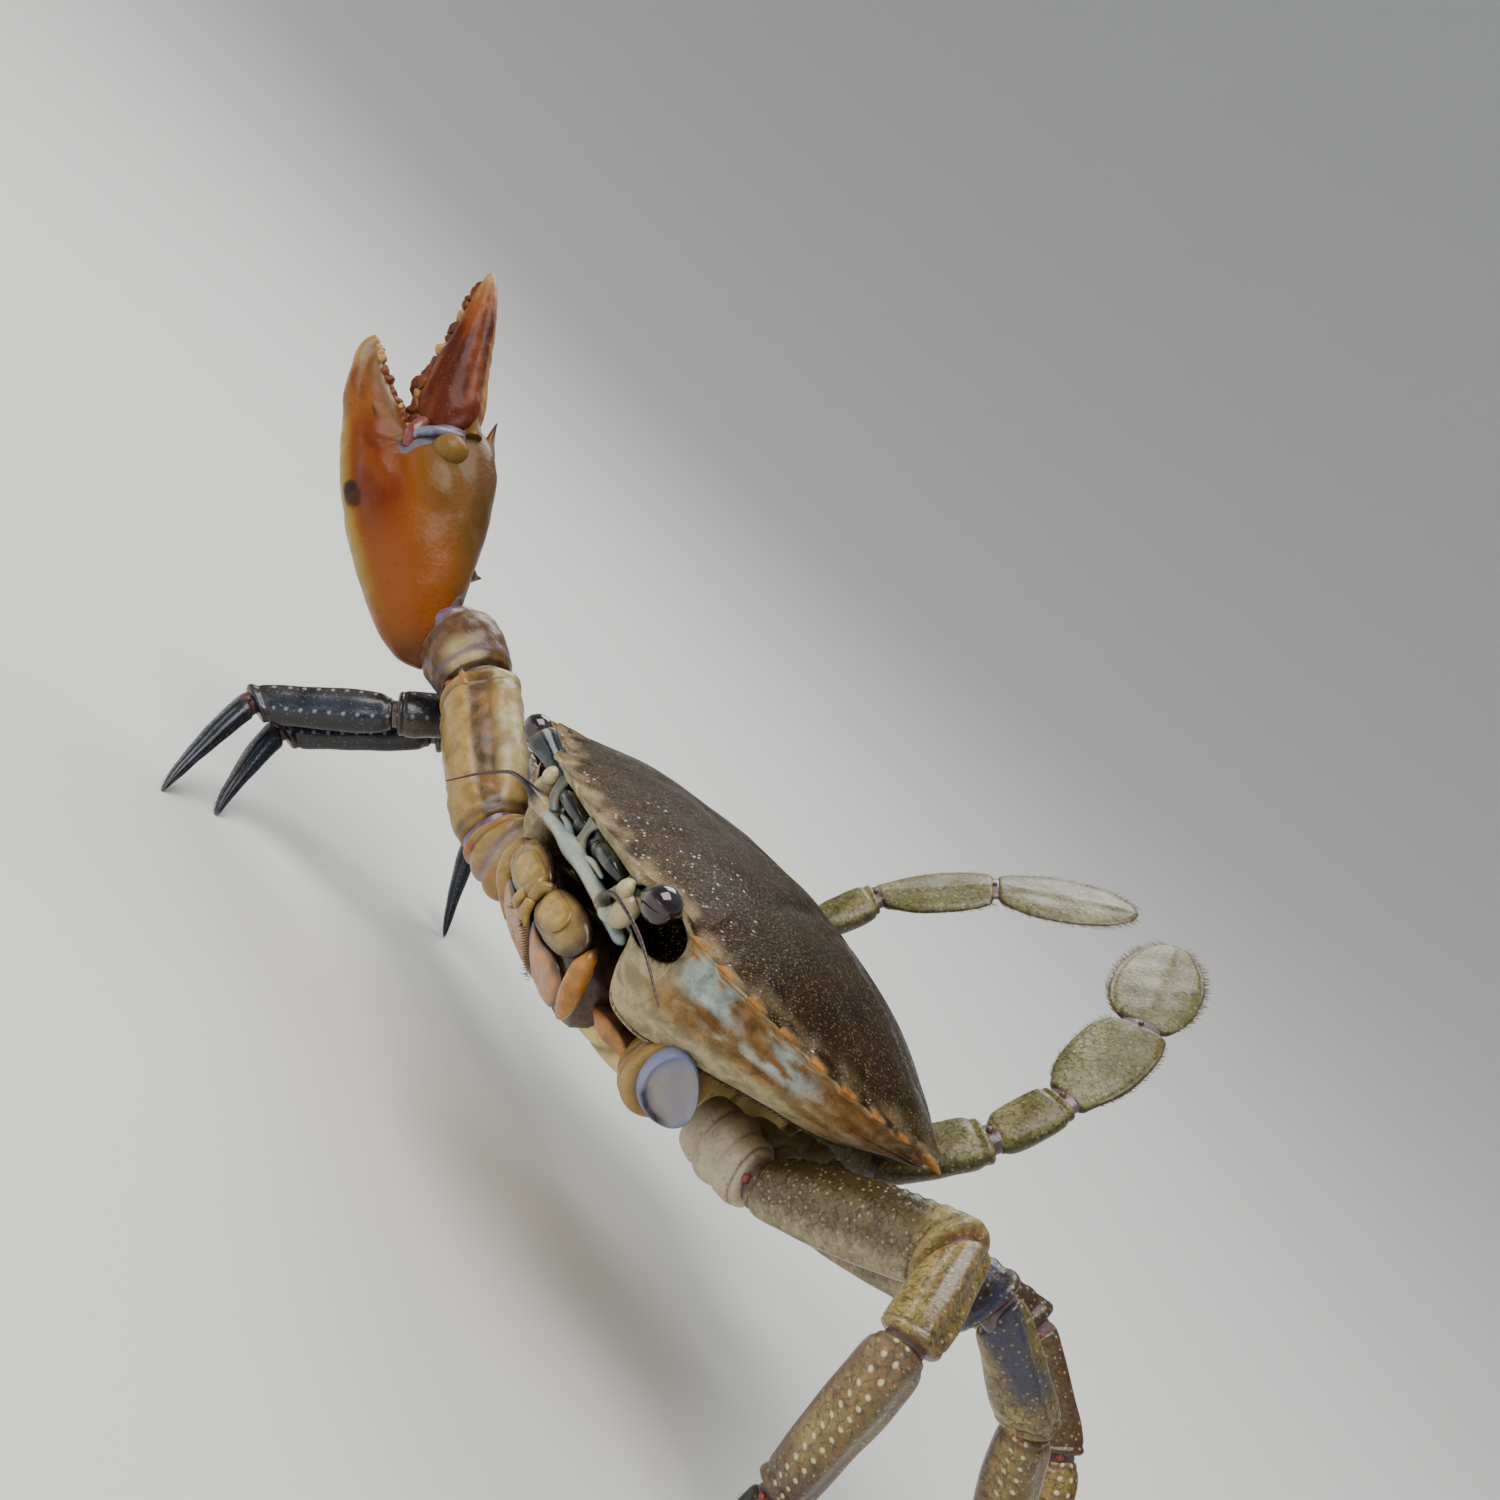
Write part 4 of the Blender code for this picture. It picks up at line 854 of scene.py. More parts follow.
wide = wide * np.sign(np.cos(turn)) * np.abs(np.cos(turn)) ** 0.6
tail = places_at(
    wide, tail_line[:, :1] + outward_y[:, None] * lift, tail_line[:, 1:] + outward_z[:, None] * lift,
)
tail_paint = layered(
    BREAST_CREAM, tail,
    (0.5 * ramp(wander(tail, 8, 25), -0.2, 1), BREAST_OCHRE),
    (0.85 * tail_seam, SEAM_BROWN),
    (0.4 * ramp(np.abs(wide) / tail_half_width[:, None], 0.55, 1), BREAST_OCHRE),
)
make_piece("tail_plates", [skin(tail, tail_paint)], BELLY_FINISH, ["tail_flap"])


# Mouth frame.
# Between the eyes a pale bar of shell roofs the mouth. A pillar joins it to the front edge, and
# beside the pillar lie two sockets, dark with painted shade, closed at the sides by pale struts and the
# feelers' knobs.

RIDGE_PALE = tone(206, 212, 200)
RIDGE_BLUE = tone(160, 182, 190)
# Painted shade: the near black green of the mouth's hollow and its sockets.
SOCKET_SHADE_GREEN_BLACK = tone(24, 32, 32)
KNOB_CREAM = tone(214, 198, 156)


def tube(path, widths, heights, colours, up=(0, 0, 1), rows=40, columns=22, round_ends=(0.08, 0.08),
         relief=None):
    """Closed rounded bar along a smooth line through the points of the path, with radii at each.

    colours is one colour, or a function of the points, the share along and the turn around.
    """
    path = np.array(path, float)
    keys = np.concatenate(((0,), np.cumsum(np.linalg.norm(np.diff(path, axis=0), axis=1))))
    keys /= keys[-1]
    share = 0.5 - 0.5 * np.cos(np.linspace(0, math.pi, rows))
    line = eased(share, keys, path)
    heading = unit(np.gradient(line, axis=0))
    sideways = unit(np.cross(heading, up))
    upward = np.cross(sideways, heading)
    rounding = np.ones(rows)
    for near, end in ((share, round_ends[0]), (1 - share, round_ends[1])):
        rounding *= np.sqrt(1 - np.clip(1 - near / end, 0, 0.995) ** 2)
    turn = circle(columns)[None, :, None]
    wide = (eased(share, keys, widths) * rounding)[:, None, None] * np.sin(turn)
    tall = (eased(share, keys, heights) * rounding)[:, None, None] * np.cos(turn)
    grid = line[:, None] + sideways[:, None] * wide + upward[:, None] * tall
    share, turn = share[:, None], turn[..., 0] / (2 * math.pi)
    if relief:
        grid = swollen(grid, relief(grid, share, turn) * rounding[:, None])
    if callable(colours):
        colours = colours(grid, share, turn)
    return skin(grid, colours)


def ridge_paint(grid, share, turn):
    """Colours of the frame's bars: pale, with blue patches, and brown below."""
    low = ramp(np.cos(2 * math.pi * turn), -0.2, -0.9)
    return layered(
        RIDGE_PALE, grid,
        (0.8 * ramp(wander(grid, 6, 31), -0.2, 0.8), RIDGE_BLUE),
        (0.55 * ramp(wander(grid, 3, 32), 0.5, 1.2), KNOB_CREAM),
        (0.8 * low, tone(96, 88, 70)),
    )


FRAME_FINISH = shell_finish(
    "mouth_frame_shell", (3, 0.35, tone(150, 150, 128)), (0.9, 0.35, 0.3, 0.4, tone(112, 108, 92)),
    (0.2, 0.4), (0.8, 0.12), coat=0.45, flesh=0.05,
)
# Finish of the sockets' painted shade, with darker clouds over it.
SOCKET_FINISH = shell_finish(
    "wet_socket_shade", (2.5, 0.5, tone(12, 15, 15)), (0.8, 0.3, 0.25, 0.5, tone(78, 96, 92)),
    (0.08, 0.25), (1, 0.1), coat=0.7, coat_roughness=0.05,
)

# A wall behind the bars, painted near black with darker patches: painted shade inside the mouth.
wall = []
for x in np.linspace(-26, 26, 45):
    nose = -46.3 + 0.0052 * x * x
    wall.append([(x, y, z) for y, z in (
        (-30, -3.4), (-38, -3.2), (nose + 1, -2.6), (nose, -4), (nose + 0.6, -6),
        (nose + 0.4, -8), (nose + 1.6, -11), (nose + 4.5, -13.6), (-36, -15.6), (-30, -15.4),
    )])
wall = np.array(wall)
cavity_shade_paint = layered(
    SOCKET_SHADE_GREEN_BLACK, wall, (0.6 * ramp(wander(wall, 5, 34), 0, 1), HOLLOW_SHADE_BLACK),
)
ridge_path = [(x, -48.4 + 0.0058 * x * x, -9.3 - 0.0042 * x * x) for x in np.linspace(-27.5, 27.5, 9)]
frame_bars = [
    tube(
        ridge_path, [1.6, 1.9, 2, 2.1, 2.5, 2.1, 2, 1.9, 1.6],
        [1.2, 1.5, 1.5, 1.6, 2.2, 1.6, 1.5, 1.5, 1.2],
        ridge_paint, rows=90, columns=28, round_ends=(0.03, 0.03),
    ),
    tube([(0, -47.6, -8.4), (0, -48.6, -6), (0, -49, -4), (0, -49, -1.8)],
         [2.4, 1.15, 1, 2], [1.6, 1, 1, 1.6], ridge_paint, up=(0, 1, 0)),
]
for side in (1, -1):
    strut = ((17.6, -46.6, -9.6), (19.6, -47.6, -6.8), (20.6, -47.8, -4.4), (21.6, -47.4, -2.2))
    branch = ((3.5, -47.9, -8.8), (8, -47.9, -7.4), (13, -47.4, -7.6))
    frame_bars += [
        tube(mirrored(side, strut), [1.9, 1.3, 1.2, 1.9], [1.5, 1.2, 1.2, 1.4], ridge_paint, up=(0, 1, 0)),
        tube(mirrored(side, branch), [1.1, 0.9, 0.5], [0.9, 0.8, 0.5], ridge_paint),
        ellipsoid((side * 25.2, -47.2, -7.4), (2.7, 2.6, 4), KNOB_CREAM),
        ellipsoid((side * 23.6, -49.4, -4.2), (1.9, 1.8, 2.3), tone(232, 216, 170)),
        ellipsoid((side * 22.2, -47.6, -10.2), (2.6, 2.2, 2), RIDGE_PALE),
    ]
make_piece("mouth_cavity_shade", [skin(wall, cavity_shade_paint)], SOCKET_FINISH, ["mouth_frame"])
make_piece("mouth_frame_bars", frame_bars, FRAME_FINISH, ["mouth_frame"])


# Mouth lids.
# Two pairs of hinged plates close the mouth like doors: an upper plate with a small jointed palp,
# a longer orange plate below it, and a rod along the side, all set in dark soft skin.

LID_OLIVE = tone(180, 154, 88)
LID_YELLOW = tone(206, 178, 100)
LID_ORANGE = tone(224, 160, 76)
LID_BORDER = tone(70, 48, 44)
LID_PURPLE = tone(74, 56, 66)


def closed_outline(corners, count=72):
    """Smooth closed line through corner points, evenly divided."""
    corners = np.array(corners, float)
    total = len(corners)
    keys = np.arange(-3, total + 4)
    return eased(np.linspace(0, total, count, endpoint=False), keys, corners[keys % total])


def pillow(outline, outward, crown, depth, inside, border, border_from=0.8, seed=1, ripple=0.06):
    """Plate with a domed face over a closed outline, and a flat back sunk by the depth."""
    outward = unit(outward)
    middle = outline.mean(axis=0)
    rings = []
    shares = (0.06, 0.2, 0.36, 0.52, 0.66, 0.78, 0.87, 0.94, 0.98, 1)
    for share in shares:
        ring = middle + (outline - middle) * share
        rings.append(ring + outward * (crown * (1 - share ** 4) ** 0.8))
    for share, sunk in ((0.99, 0.4), (0.92, 1), (0.5, 1), (0.1, 1)):
        rings.append(middle + (outline - middle) * share - outward * (depth * sunk))
    grid = np.array(rings)
    grid[:len(shares)] += outward * (ripple * wander(grid[:len(shares)], 2.4, seed))[..., None]
    reach = np.array(shares + (1, 1, 1, 1))[:, None]
    blotch = wander(grid, 3.6, seed + 50)
    paint = layered(
        inside, grid,
        (0.35 * ramp(blotch, 0.1, 1.2), border),
        (ramp(reach + 0.05 * blotch, border_from, 0.99), border),
    )
    return skin(grid, paint)


LID_FINISH = shell_finish(
    "mouth_lid_shell", (2.6, 0.5, tone(138, 104, 56)), (0.7, 0.36, 0.35, 0.5, tone(96, 68, 44)),
    (0.18, 0.4), (0.7, 0.14), coat=0.45, flesh=0.05,
)


FACE_HEIGHTS = (-37.6, -36, -32.5, -27.5, -23, -19.6, -17, -14.5)
FACE_FRONTS = (-30.2, -33.6, -38.4, -43.2, -46, -46.2, -45.6, -45)


def face_front(height):
    """How far forward the closed lids reach at a height."""
    return eased(height, FACE_HEIGHTS, FACE_FRONTS)


def on_face(corners, side, push=0):
    """Closed outline laid on the front of the mouth, from corners of (across, height)."""
    flat = closed_outline([(x, 0, z) for x, z in corners])
    flat[:, 1] = face_front(flat[:, 2]) + 0.012 * (flat[:, 0] - 8) ** 2 - push
    flat[:, 0] *= side
    return flat


for side_name, side in SIDES:
    under = []
    for height, inner, outer in (
        (-16.4, 4, 14), (-17.6, 1.5, 18), (-19.6, 0.5, 20), (-23, 0.5, 21.4), (-27.5, 0.5, 21.8),
        (-32.5, 0.5, 19.4), (-36, 0.5, 15), (-37.4, 0.5, 9),
    ):
        front = float(face_front(height)) + 1.6
        under.append([(side * x, y, height) for x, y in (
            (inner, -29), (inner, front + 0.8), (inner + 2, front), (0.5 * (inner + outer), front - 0.1),
            (outer - 2.5, front + 0.8), (outer, front + 3), (outer, -29),
        )])
    under = np.array(under)
    under_paint = layered(
        LID_BORDER, under, (0.5 * ramp(wander(under, 5, 41), 0, 1), LID_PURPLE),
    )
    straight = (0.1 * side, -1, -0.05)
    sloping = (0.1 * side, -0.8, -0.6)
    upper = (
        (1.2, -18.4), (4.6, -15.9), (10.4, -14.9), (16.4, -15.4), (20.4, -18), (20.4, -21.6), (16, -24.4),
        (8.6, -25.3), (1.6, -24.6),
    )
    boss = ((3, -18), (7, -16.6), (12.6, -16.8), (14.4, -20), (11.6, -23), (5, -23.6))
    lower = (
        (1, -26), (7.6, -26.4), (14.6, -25.6), (18.8, -27.4), (18, -31.6), (14, -34.8), (8, -36.4),
        (1.4, -36.6),
    )
    outer = ((21.6, -27.2), (25.6, -26.4), (30.4, -26.8), (33.4, -28.8), (28.6, -30.4), (23, -30.2))
    rod = (
        (21.6, -42.6, -17.4), (22.6, -43.2, -21), (22.4, -41.4, -26), (20, -37.6, -31), (17.4, -34.6, -34.4),
    )
    palp_root = ((2.4, -46.6, -17.4), (1, -47.9, -19.4), (1.6, -48.4, -22.4))
    palp_end = ((1.7, -48.4, -22), (2.4, -48, -24.6), (3.6, -46.2, -27))
    lids = [
        skin(under, under_paint),
        pillow(on_face(upper, side, 0.4), straight, 1.7, 1.6, LID_OLIVE, LID_BORDER, 0.72, 42),
        pillow(on_face(boss, side, 1.5), straight, 0.8, 1.4, LID_YELLOW, LID_OLIVE, 0.5, 43),
        pillow(on_face(lower, side, 0.1), sloping, 1.5, 1.6, LID_ORANGE, LID_BORDER, 0.74, 44),
        tube(
            mirrored(side, rod), [0.9, 1.9, 2.4, 2, 1], [1, 2.2, 2.6, 2, 1],
            lambda grid, share, turn: layered(
                LID_ORANGE if side > 0 else LID_YELLOW, grid,
                (ramp(np.abs(share - 0.5), 0.36, 0.46), LID_BORDER),
                (0.5 * ramp(wander(grid, 3, 45), 0.2, 1.2), tone(190, 118, 56)),
            ),
        ),
        tube(mirrored(side, palp_root), [1, 1.5, 1.1], [1, 1.5, 1.1], LID_OLIVE, up=(1, 0, 0)),
        tube(mirrored(side, palp_end), [1.1, 1.2, 0.5], [1.1, 1.2, 0.5], LID_YELLOW, up=(1, 0, 0)),
        pillow(on_face(outer, side, -7.6), sloping, 1.3, 3, tone(222, 160, 84), LID_PURPLE, 0.86, 46),
    ]
    make_piece("mouth_plates_" + side_name, lids, LID_FINISH, ["mouth_lid_" + side_name])


# Eyes.
# Each eye is a glossy rounded cornea on the end of a short hard stalk that swings in its hollow.
# The left stalk lies in the hollow, and the right one stands out of it.

STALK_BLUE_BLACK = tone(34, 52, 60)
STALK_PALE = tone(120, 140, 146)
CORNEA_PLUM = tone(66, 34, 46)
CORNEA_DARK = tone(28, 18, 26)
STALK_FINISH = shell_finish(
    "eye_stalk", (2.2, 0.5, tone(20, 30, 36)), (0.7, 0.34, 0.3, 0.5, tone(104, 122, 130)),
    (0.12, 0.3), (0.6, 0.1), coat=0.6, coat_roughness=0.06,
)
CORNEA_FINISH = shell_finish(
    "eye_cornea", (1.8, 0.55, tone(20, 13, 20)), (0.35, 0.42, 0.7, 0.3, tone(120, 84, 96)),
    (0.05, 0.12), (0.3, 0.03), coat=0.9, coat_roughness=0.03,
)
for side_name, base, end, radius in (
    ("left", (20.5, -45, -3.6), (33.6, -48.2, -0.6), 4),
    ("right", (-20.5, -45, -3.6), (-35.6, -52.8, 0.2), 3.3),
):
    base, end = np.array(base), np.array(end)
    along = end - base
    stalk = tube(
        [base + along * share for share in (0, 0.25, 0.5, 0.72, 0.86)],
        [2.5, 3.1, 2.7, 3.3, 3.7], [2.4, 2.9, 2.6, 3.3, 3.6],
        lambda grid, share, turn: layered(
            STALK_BLUE_BLACK, grid,
            (0.5 * ramp(wander(grid, 3, 61), 0.3, 1), STALK_PALE),
            (0.7 * ramp(share, 0.86, 0.97), tone(150, 132, 120)),
        ), round_ends=(0.05, 0.02),
    )
    forward = unit(along)
    sideways = unit(np.cross(forward, (0, 0, 1)))
    upward = np.cross(sideways, forward)
    cornea = end - forward * 0.3 + ball(26, 40, 0.05) @ np.array((
        sideways * radius, upward * radius, forward * (1.08 * radius),
    ))
    cornea_paint = layered(
        CORNEA_PLUM, cornea,
        (ramp((cornea - end) @ upward, -0.5, 3), CORNEA_DARK),
        (ramp((cornea - end) @ forward, 0, -2.4), tone(96, 74, 66)),
    )
    eye_nodes = ["eye_" + side_name]
    make_piece("eye_stalk_" + side_name, [stalk], STALK_FINISH, eye_nodes)
    make_piece("eye_cornea_" + side_name, [skin(cornea, cornea_paint)], CORNEA_FINISH, eye_nodes)


# Feelers.
# Each long feeler is a thin jointed whip on a stout root beside the eye.
# The small feelers are folded away, shining, in the sockets beside the pillar, dark with the sockets'
# painted shade.

FEELER_BLACK = tone(38, 26, 22)
FEELER_BAND = tone(138, 88, 60)
FEELER_FINISH = shell_finish(
    "feeler_skin", (1.5, 0.3, tone(20, 14, 12)), (0.5, 0.35, 0.3, 0.4, tone(120, 92, 74)),
    (0.25, 0.45), (0.4, 0.06), coat=0.3,
)
for side_name, path in (
    ("left", ((17, -44.5, -10.4), (20.5, -48.8, -9.4), (24, -52, -7), (31, -54.6, -5),
              (42, -53.8, -5.8), (56, -51, -10.6))),
    ("right", ((-17, -44.5, -10.4), (-20.5, -48.8, -9.6), (-24, -51.8, -9), (-30, -52.6, -10),
               (-38.5, -52.6, -15), (-49, -53, -24.5))),
):
    radii = (2.2, 2, 0.8, 0.5, 0.38, 0.16)
    whip = tube(
        path, radii, radii,
        lambda grid, share, turn: layered(
            FEELER_BLACK, grid,
            (0.8 * ramp(np.sin(share * 210), 0.1, 0.8) * ramp(share, 0.3, 0.45), FEELER_BAND),
            (ramp(share, 0.2, 0.1), KNOB_CREAM),
        ), rows=150, columns=14, round_ends=(0.03, 0.01),
    )
    make_piece("feeler_whip_" + side_name, [whip], FEELER_FINISH, ["feeler_" + side_name])
for side_name, side in SIDES:
    fold = ((4.5, -47.2, -4.6), (10, -48.3, -4.2), (15, -48, -4.2), (18.2, -46.6, -4.6))
    # Both folded pieces carry the sockets' painted shade. The feeler has paler patches and a pale band on
    # it.
    folded = [
        ellipsoid((side * 5.6, -46.6, -4.8), (3.2, 2.4, 2.1), SOCKET_SHADE_GREEN_BLACK),
        tube(
            mirrored(side, fold), [1.4, 1.9, 1.7, 0.9], [1.4, 1.8, 1.6, 0.9],
            lambda grid, share, turn: layered(
                SOCKET_SHADE_GREEN_BLACK, grid,
                (0.7 * ramp(wander(grid, 3, 71), 0.2, 1), tone(70, 92, 96)),
                (ramp(np.abs(share - 0.62), 0.03, 0), tone(120, 132, 126)),
            ),
        ),
    ]
    make_piece("folded_feeler_" + side_name, folded, SOCKET_FINISH, ["small_feeler_" + side_name])


# Walking legs.
# Three on each side, each a chain of five hard tubes that ends in a grooved, pointed toe. A tube
# narrows at its root, flares at its far end and turns there on two knuckles in a ring of soft skin.

FLOOR_LEVEL = -MIDDLE[2] / MM
END_ROUNDING = 1.7
TOE_BOW = 1.6
FLOOR_GAP = 0.02
SOCKET_SHARE = 0.84
END_SPACING = 0.45
SECTION_ROUNDNESS = 0.92
SKIN_REACH = 0.85
LEG_PIECES = ("base", "arm", "cuff", "shin", "toe")
LEG_LENGTHS = {1: (20, 46.5, 24, 37), 2: (17, 51, 26.5, 40), 3: (16.5, 49, 24, 36)}
LEG_SCALES = {1: 1, 2: 1, 3: 0.92}
LEGS = (
    (1, "left", (40, -9.6, -28.5), ((8, 5), (4.3, 29), (-47, -28), (112, -73)), (115, -22)),
    (2, "left", (39, 3.6, -28), ((6, 5), (6.5, 22), (76, -29), (80, -56)), (114, 50)),
    (3, "left", (37, 16, -26), ((30, 6), (57, 10), (24, -34), (18, -60)), (112, 84)),
    (1, "right", (-37, -9, -28.5), ((195, 4), (198, 14), (255, -38), (241.5, -39)), (-95, -82)),
    (2, "right", (-37, 4, -28), ((186, 6), (197, 14), (249, -35), (251, -42)), (-101, -65)),
    (3, "right", (-35, 16, -26), ((172, 7), (173, 23), (200, -38), (204, -66)), (-116, 20)),
)
LEG_PROFILES = {
    "base": (
        (0, 6, 4.6), (0.2, 6.9, 5.2), (0.45, 7.3, 5.5), (0.75, 6.9, 5.2), (0.9, 6.4, 4.9), (1, 5.2, 4.2),
    ),
    "arm": (
        (0, 4.7, 3.8), (0.06, 5.4, 4.1), (0.15, 6.1, 4.3), (0.35, 6.9, 4.5), (0.6, 7.1, 4.5),
        (0.85, 6.7, 4.3), (0.95, 6.3, 4.4), (1, 4.9, 3.8),
    ),
    "cuff": (
        (0, 4.6, 3.8), (0.1, 5, 4), (0.3, 5.5, 4.2), (0.6, 5.9, 4.4), (0.85, 6, 4.5), (0.95, 5.6, 4.3),
        (1, 4.5, 3.6),
    ),
    "shin": (
        (0, 4.4, 3.4), (0.1, 5.2, 3.6), (0.25, 5.6, 3.8), (0.6, 5.3, 3.6), (0.85, 4.9, 3.5),
        (0.95, 4.6, 3.3), (1, 3.8, 2.9),
    ),
    "toe": (
        (0, 3.7, 2.8), (0.08, 4, 2.9), (0.2, 4.1, 2.8), (0.5, 3.2, 2.1), (0.8, 1.9, 1.35), (0.93, 1.1, 0.85),
        (1, 0.6, 0.6),
    ),
}


def limb_axes(start, end, hint):
    """Directions of a limb's piece: along it, across its width towards the hint, and up its height."""
    heading = unit(end - start)
    thin = unit(hint - heading * (hint @ heading))
    return heading, thin, np.cross(thin, heading)


def chain(root, bearings, lengths):
    """Joints of a limb from its root out; a bearing is (turn from the crab's left to its rear, rise)."""
    joints = [np.array(root, float)]
    for (bearing, rise), length in zip(bearings, lengths):
        bearing, rise = math.radians(bearing), math.radians(rise)
        heading = (math.cos(rise) * math.cos(bearing), math.cos(rise) * math.sin(bearing), math.sin(rise))
        joints.append(joints[-1] + np.array(heading) * length)
    return joints


def turn_at(place, turn, width):
    """Soft mask, 1 at a share of the way around and 0 away from it."""
    gap = np.abs((turn - place + 0.5) % 1 - 0.5)
    return np.exp(-(gap / width) ** 2)


def band(share, middle, width):
    """Soft mask, 1 at a share of the length and 0 away from it."""
    return np.exp(-((share - middle) / width) ** 2)


def swollen(grid, amount):
    """Rings moved outward along their surface normals by an amount in millimetres at each point."""
    around = np.roll(grid, -1, axis=1) - np.roll(grid, 1, axis=1)
    outward = unit(np.cross(around, np.gradient(grid, axis=0)))
    outward *= np.sign(((grid - grid.mean(axis=1)[:, None]) * outward).sum())
    return grid + outward * np.broadcast_to(amount, grid.shape[:2])[..., None]


def limb(joints, index, hint, profile, relief, colours, rows=80, columns=52, bow=0):
    """Closed skin of the piece of a limb between two of its joints.

    Each end leans along the plane that halves the bend there. The profile is (share of the
    length, half height, half width), and the hint points across the width.
    """
    start, end = joints[index], joints[index + 1]
    length = np.linalg.norm(end - start)
    heading, thin, tall = limb_axes(start, end, hint)
    steps = np.linspace(0, 1, rows)
    share = (1 - END_SPACING) * steps + END_SPACING * (0.5 - 0.5 * np.cos(math.pi * steps))
    keys, heights, widths = np.array(profile).T
    rounding = np.ones(rows)
    for near in (share, 1 - share):
        rounding *= np.sqrt(1 - np.clip(1 - near * length / END_ROUNDING, 0, 0.97) ** 2)
    turn = np.linspace(0, 1, columns, endpoint=False)
    upward, sideways = np.cos(2 * math.pi * turn), np.sin(2 * math.pi * turn)
    upward = np.sign(upward) * np.abs(upward) ** SECTION_ROUNDNESS
    sideways = np.sign(sideways) * np.abs(sideways) ** SECTION_ROUNDNESS
    middle = start + (end - start) * share[:, None] + tall * (4 * bow * share * (1 - share))[:, None]
    grid = (
        middle[:, None]
        + tall * ((eased(share, keys, heights) * rounding)[:, None] * upward)[..., None]
        + thin * ((eased(share, keys, widths) * rounding)[:, None] * sideways)[..., None]
    )
    for place, reach in ((index, ramp(share, 0.25, 0)), (index + 1, ramp(share, 0.75, 1))):
        if 0 < place < len(joints) - 1:
            facing = unit(joints[place] - joints[place - 1]) + unit(joints[place + 1] - joints[place])
            lean = ((middle[:, None] - grid) @ facing) / (heading @ facing)
            grid += heading * (lean * reach[:, None])[..., None]
    share, turn = share[:, None], turn[None, :]
    amount = relief(grid, share, turn) + 0.1 * wander(grid, 5, 80 + index)
    grid = swollen(grid, amount * rounding[:, None])
    return skin(grid, colours(grid, share, turn), share[:, 0] * length)


def joint_skin(joints, index, hint, size, colour, knuckle):
    """Soft skin through a joint, and the two hard knuckles beside it."""
    before, thin, tall = limb_axes(joints[index - 1], joints[index], hint)
    after = unit(joints[index + 1] - joints[index])
    height, width = size
    reach = SKIN_REACH * height
    surfaces = [tube(
        [joints[index] - before * reach, joints[index], joints[index] + after * reach],
        [width] * 3, [height] * 3,
        lambda grid, share, turn: layered(
            colour, grid,
            (0.7 * ramp(wander(grid, 2.4, 91), 0, 0.8), SEAM_BROWN),
            (0.6 * ramp(np.sin(share * 40), 0.2, 0.9), tone(108, 84, 100)),
        ), up=tall, rows=26, columns=26, round_ends=(0.2, 0.2),
    )]
    radius = 0.15 * width + 0.5
    for side in (1, -1):
        middle = joints[index] + thin * (side * width * 1.04)
        surfaces.append(ellipsoid(middle, [radius] * 3, knuckle, 10, 14))
    return surfaces


LEG_LINES = {
    "arm": ((-0.35, 0.035, (0.11, 0.89)), (0.25, 0.03, (0.45, 0.55))),
    "cuff": ((0.45, 0.04, (0.07, 0.93)), (-0.35, 0.035, (0,)), (-0.3, 0.03, (0.2,))),
    "shin": (
        (0.4, 0.035, (0.09, 0.91)), (-0.35, 0.04, (0,)), (-0.35, 0.035, (0.27, 0.73)), (0.3, 0.05, (0.5,)),
    ),
    "toe": ((-0.34, 0.032, (0, 0.15, 0.34, 0.5, 0.66, 0.85)),),
}
SAW_PITCH = 2.6


def leg_relief(kind, length):
    """Ridges, grooves and flared lips of a walking leg's piece.

    LEG_LINES gives the height, width and shares of the way around of those along the piece.
    """
    def relief(grid, share, turn):
        lip = 0.4 * band(share, 0.955, 0.02) - 0.35 * (band(share, 0.91, 0.02) + band(share, 0.05, 0.02))
        if kind == "base":
            folds = band(share, 0.34, 0.035) + band(share, 0.66, 0.035)
            return -0.6 * folds + 0.3 * band(share, 0.5, 0.08) + lip
        lines = sum(
            height * turn_at(place, turn, width)
            for height, width, places in LEG_LINES[kind] for place in places
        )
        if kind == "toe":
            return lines * ramp(share, 0.03, 0.15) * ramp(share, 1, 0.82)
        if kind == "arm":
            saw = 0.5 + 0.5 * np.sin(share * length * 2 * math.pi / SAW_PITCH)
            lines = lines + turn_at(0, turn, 0.035) * (0.5 + 0.3 * saw)
        return lip + lines * ramp(share, 0.02, 0.14) * ramp(share, 0.99, 0.9)
    return relief


LEG_TONES = {
    "left": {
        "base": ((216, 206, 182, 0.25), (180, 160, 122, 0.4), (226, 214, 186, 0.1), (150, 138, 132, 0.3)),
        "arm": ((132, 118, 88), (88, 76, 44), (196, 182, 150, 0.4), (112, 96, 60)),
        "cuff": ((196, 176, 118), (158, 138, 80), (214, 194, 158, 0.5), (146, 122, 78)),
        "shin": ((188, 164, 106), (146, 122, 68), (134, 98, 94, 0.5), (150, 118, 78)),
        "toe": ((30, 34, 42, 0.6), (22, 26, 34, 0.6), (44, 48, 56, 0.6), (18, 20, 26, 0.4)),
    },
    "right": {
        "base": ((196, 178, 134, 0.25), (160, 140, 104, 0.4), (204, 188, 146, 0.1), (140, 130, 146, 0.3)),
        "arm": ((66, 70, 78), (92, 76, 46), (120, 102, 74, 0.5), (46, 48, 56)),
        "cuff": ((62, 68, 80), (88, 72, 42), (104, 88, 66, 0.5), (42, 46, 56)),
        "shin": ((58, 66, 86), (86, 70, 44), (62, 56, 56, 0.7), (36, 42, 58)),
        "toe": ((28, 38, 56, 0.8), (24, 32, 48, 0.8), (46, 58, 82, 0.8), (16, 20, 30, 0.4)),
    },
}
LEG_END = tone(196, 176, 116, 0.5)
LEG_JOINT_RED = tone(168, 82, 46, 0.3)
LEG_JOINT_BROWN = tone(120, 78, 52)
LEG_SKIN_MAUVE = tone(142, 118, 118)
TOE_SKIN_BROWN = tone(120, 84, 70)
LEG_DEEP_BLUE = tone(52, 74, 122, 0.6)
LEG_MAROON = tone(92, 54, 46, 0.7)
LEG_WET_PURPLE = tone(104, 74, 74, 0.8)


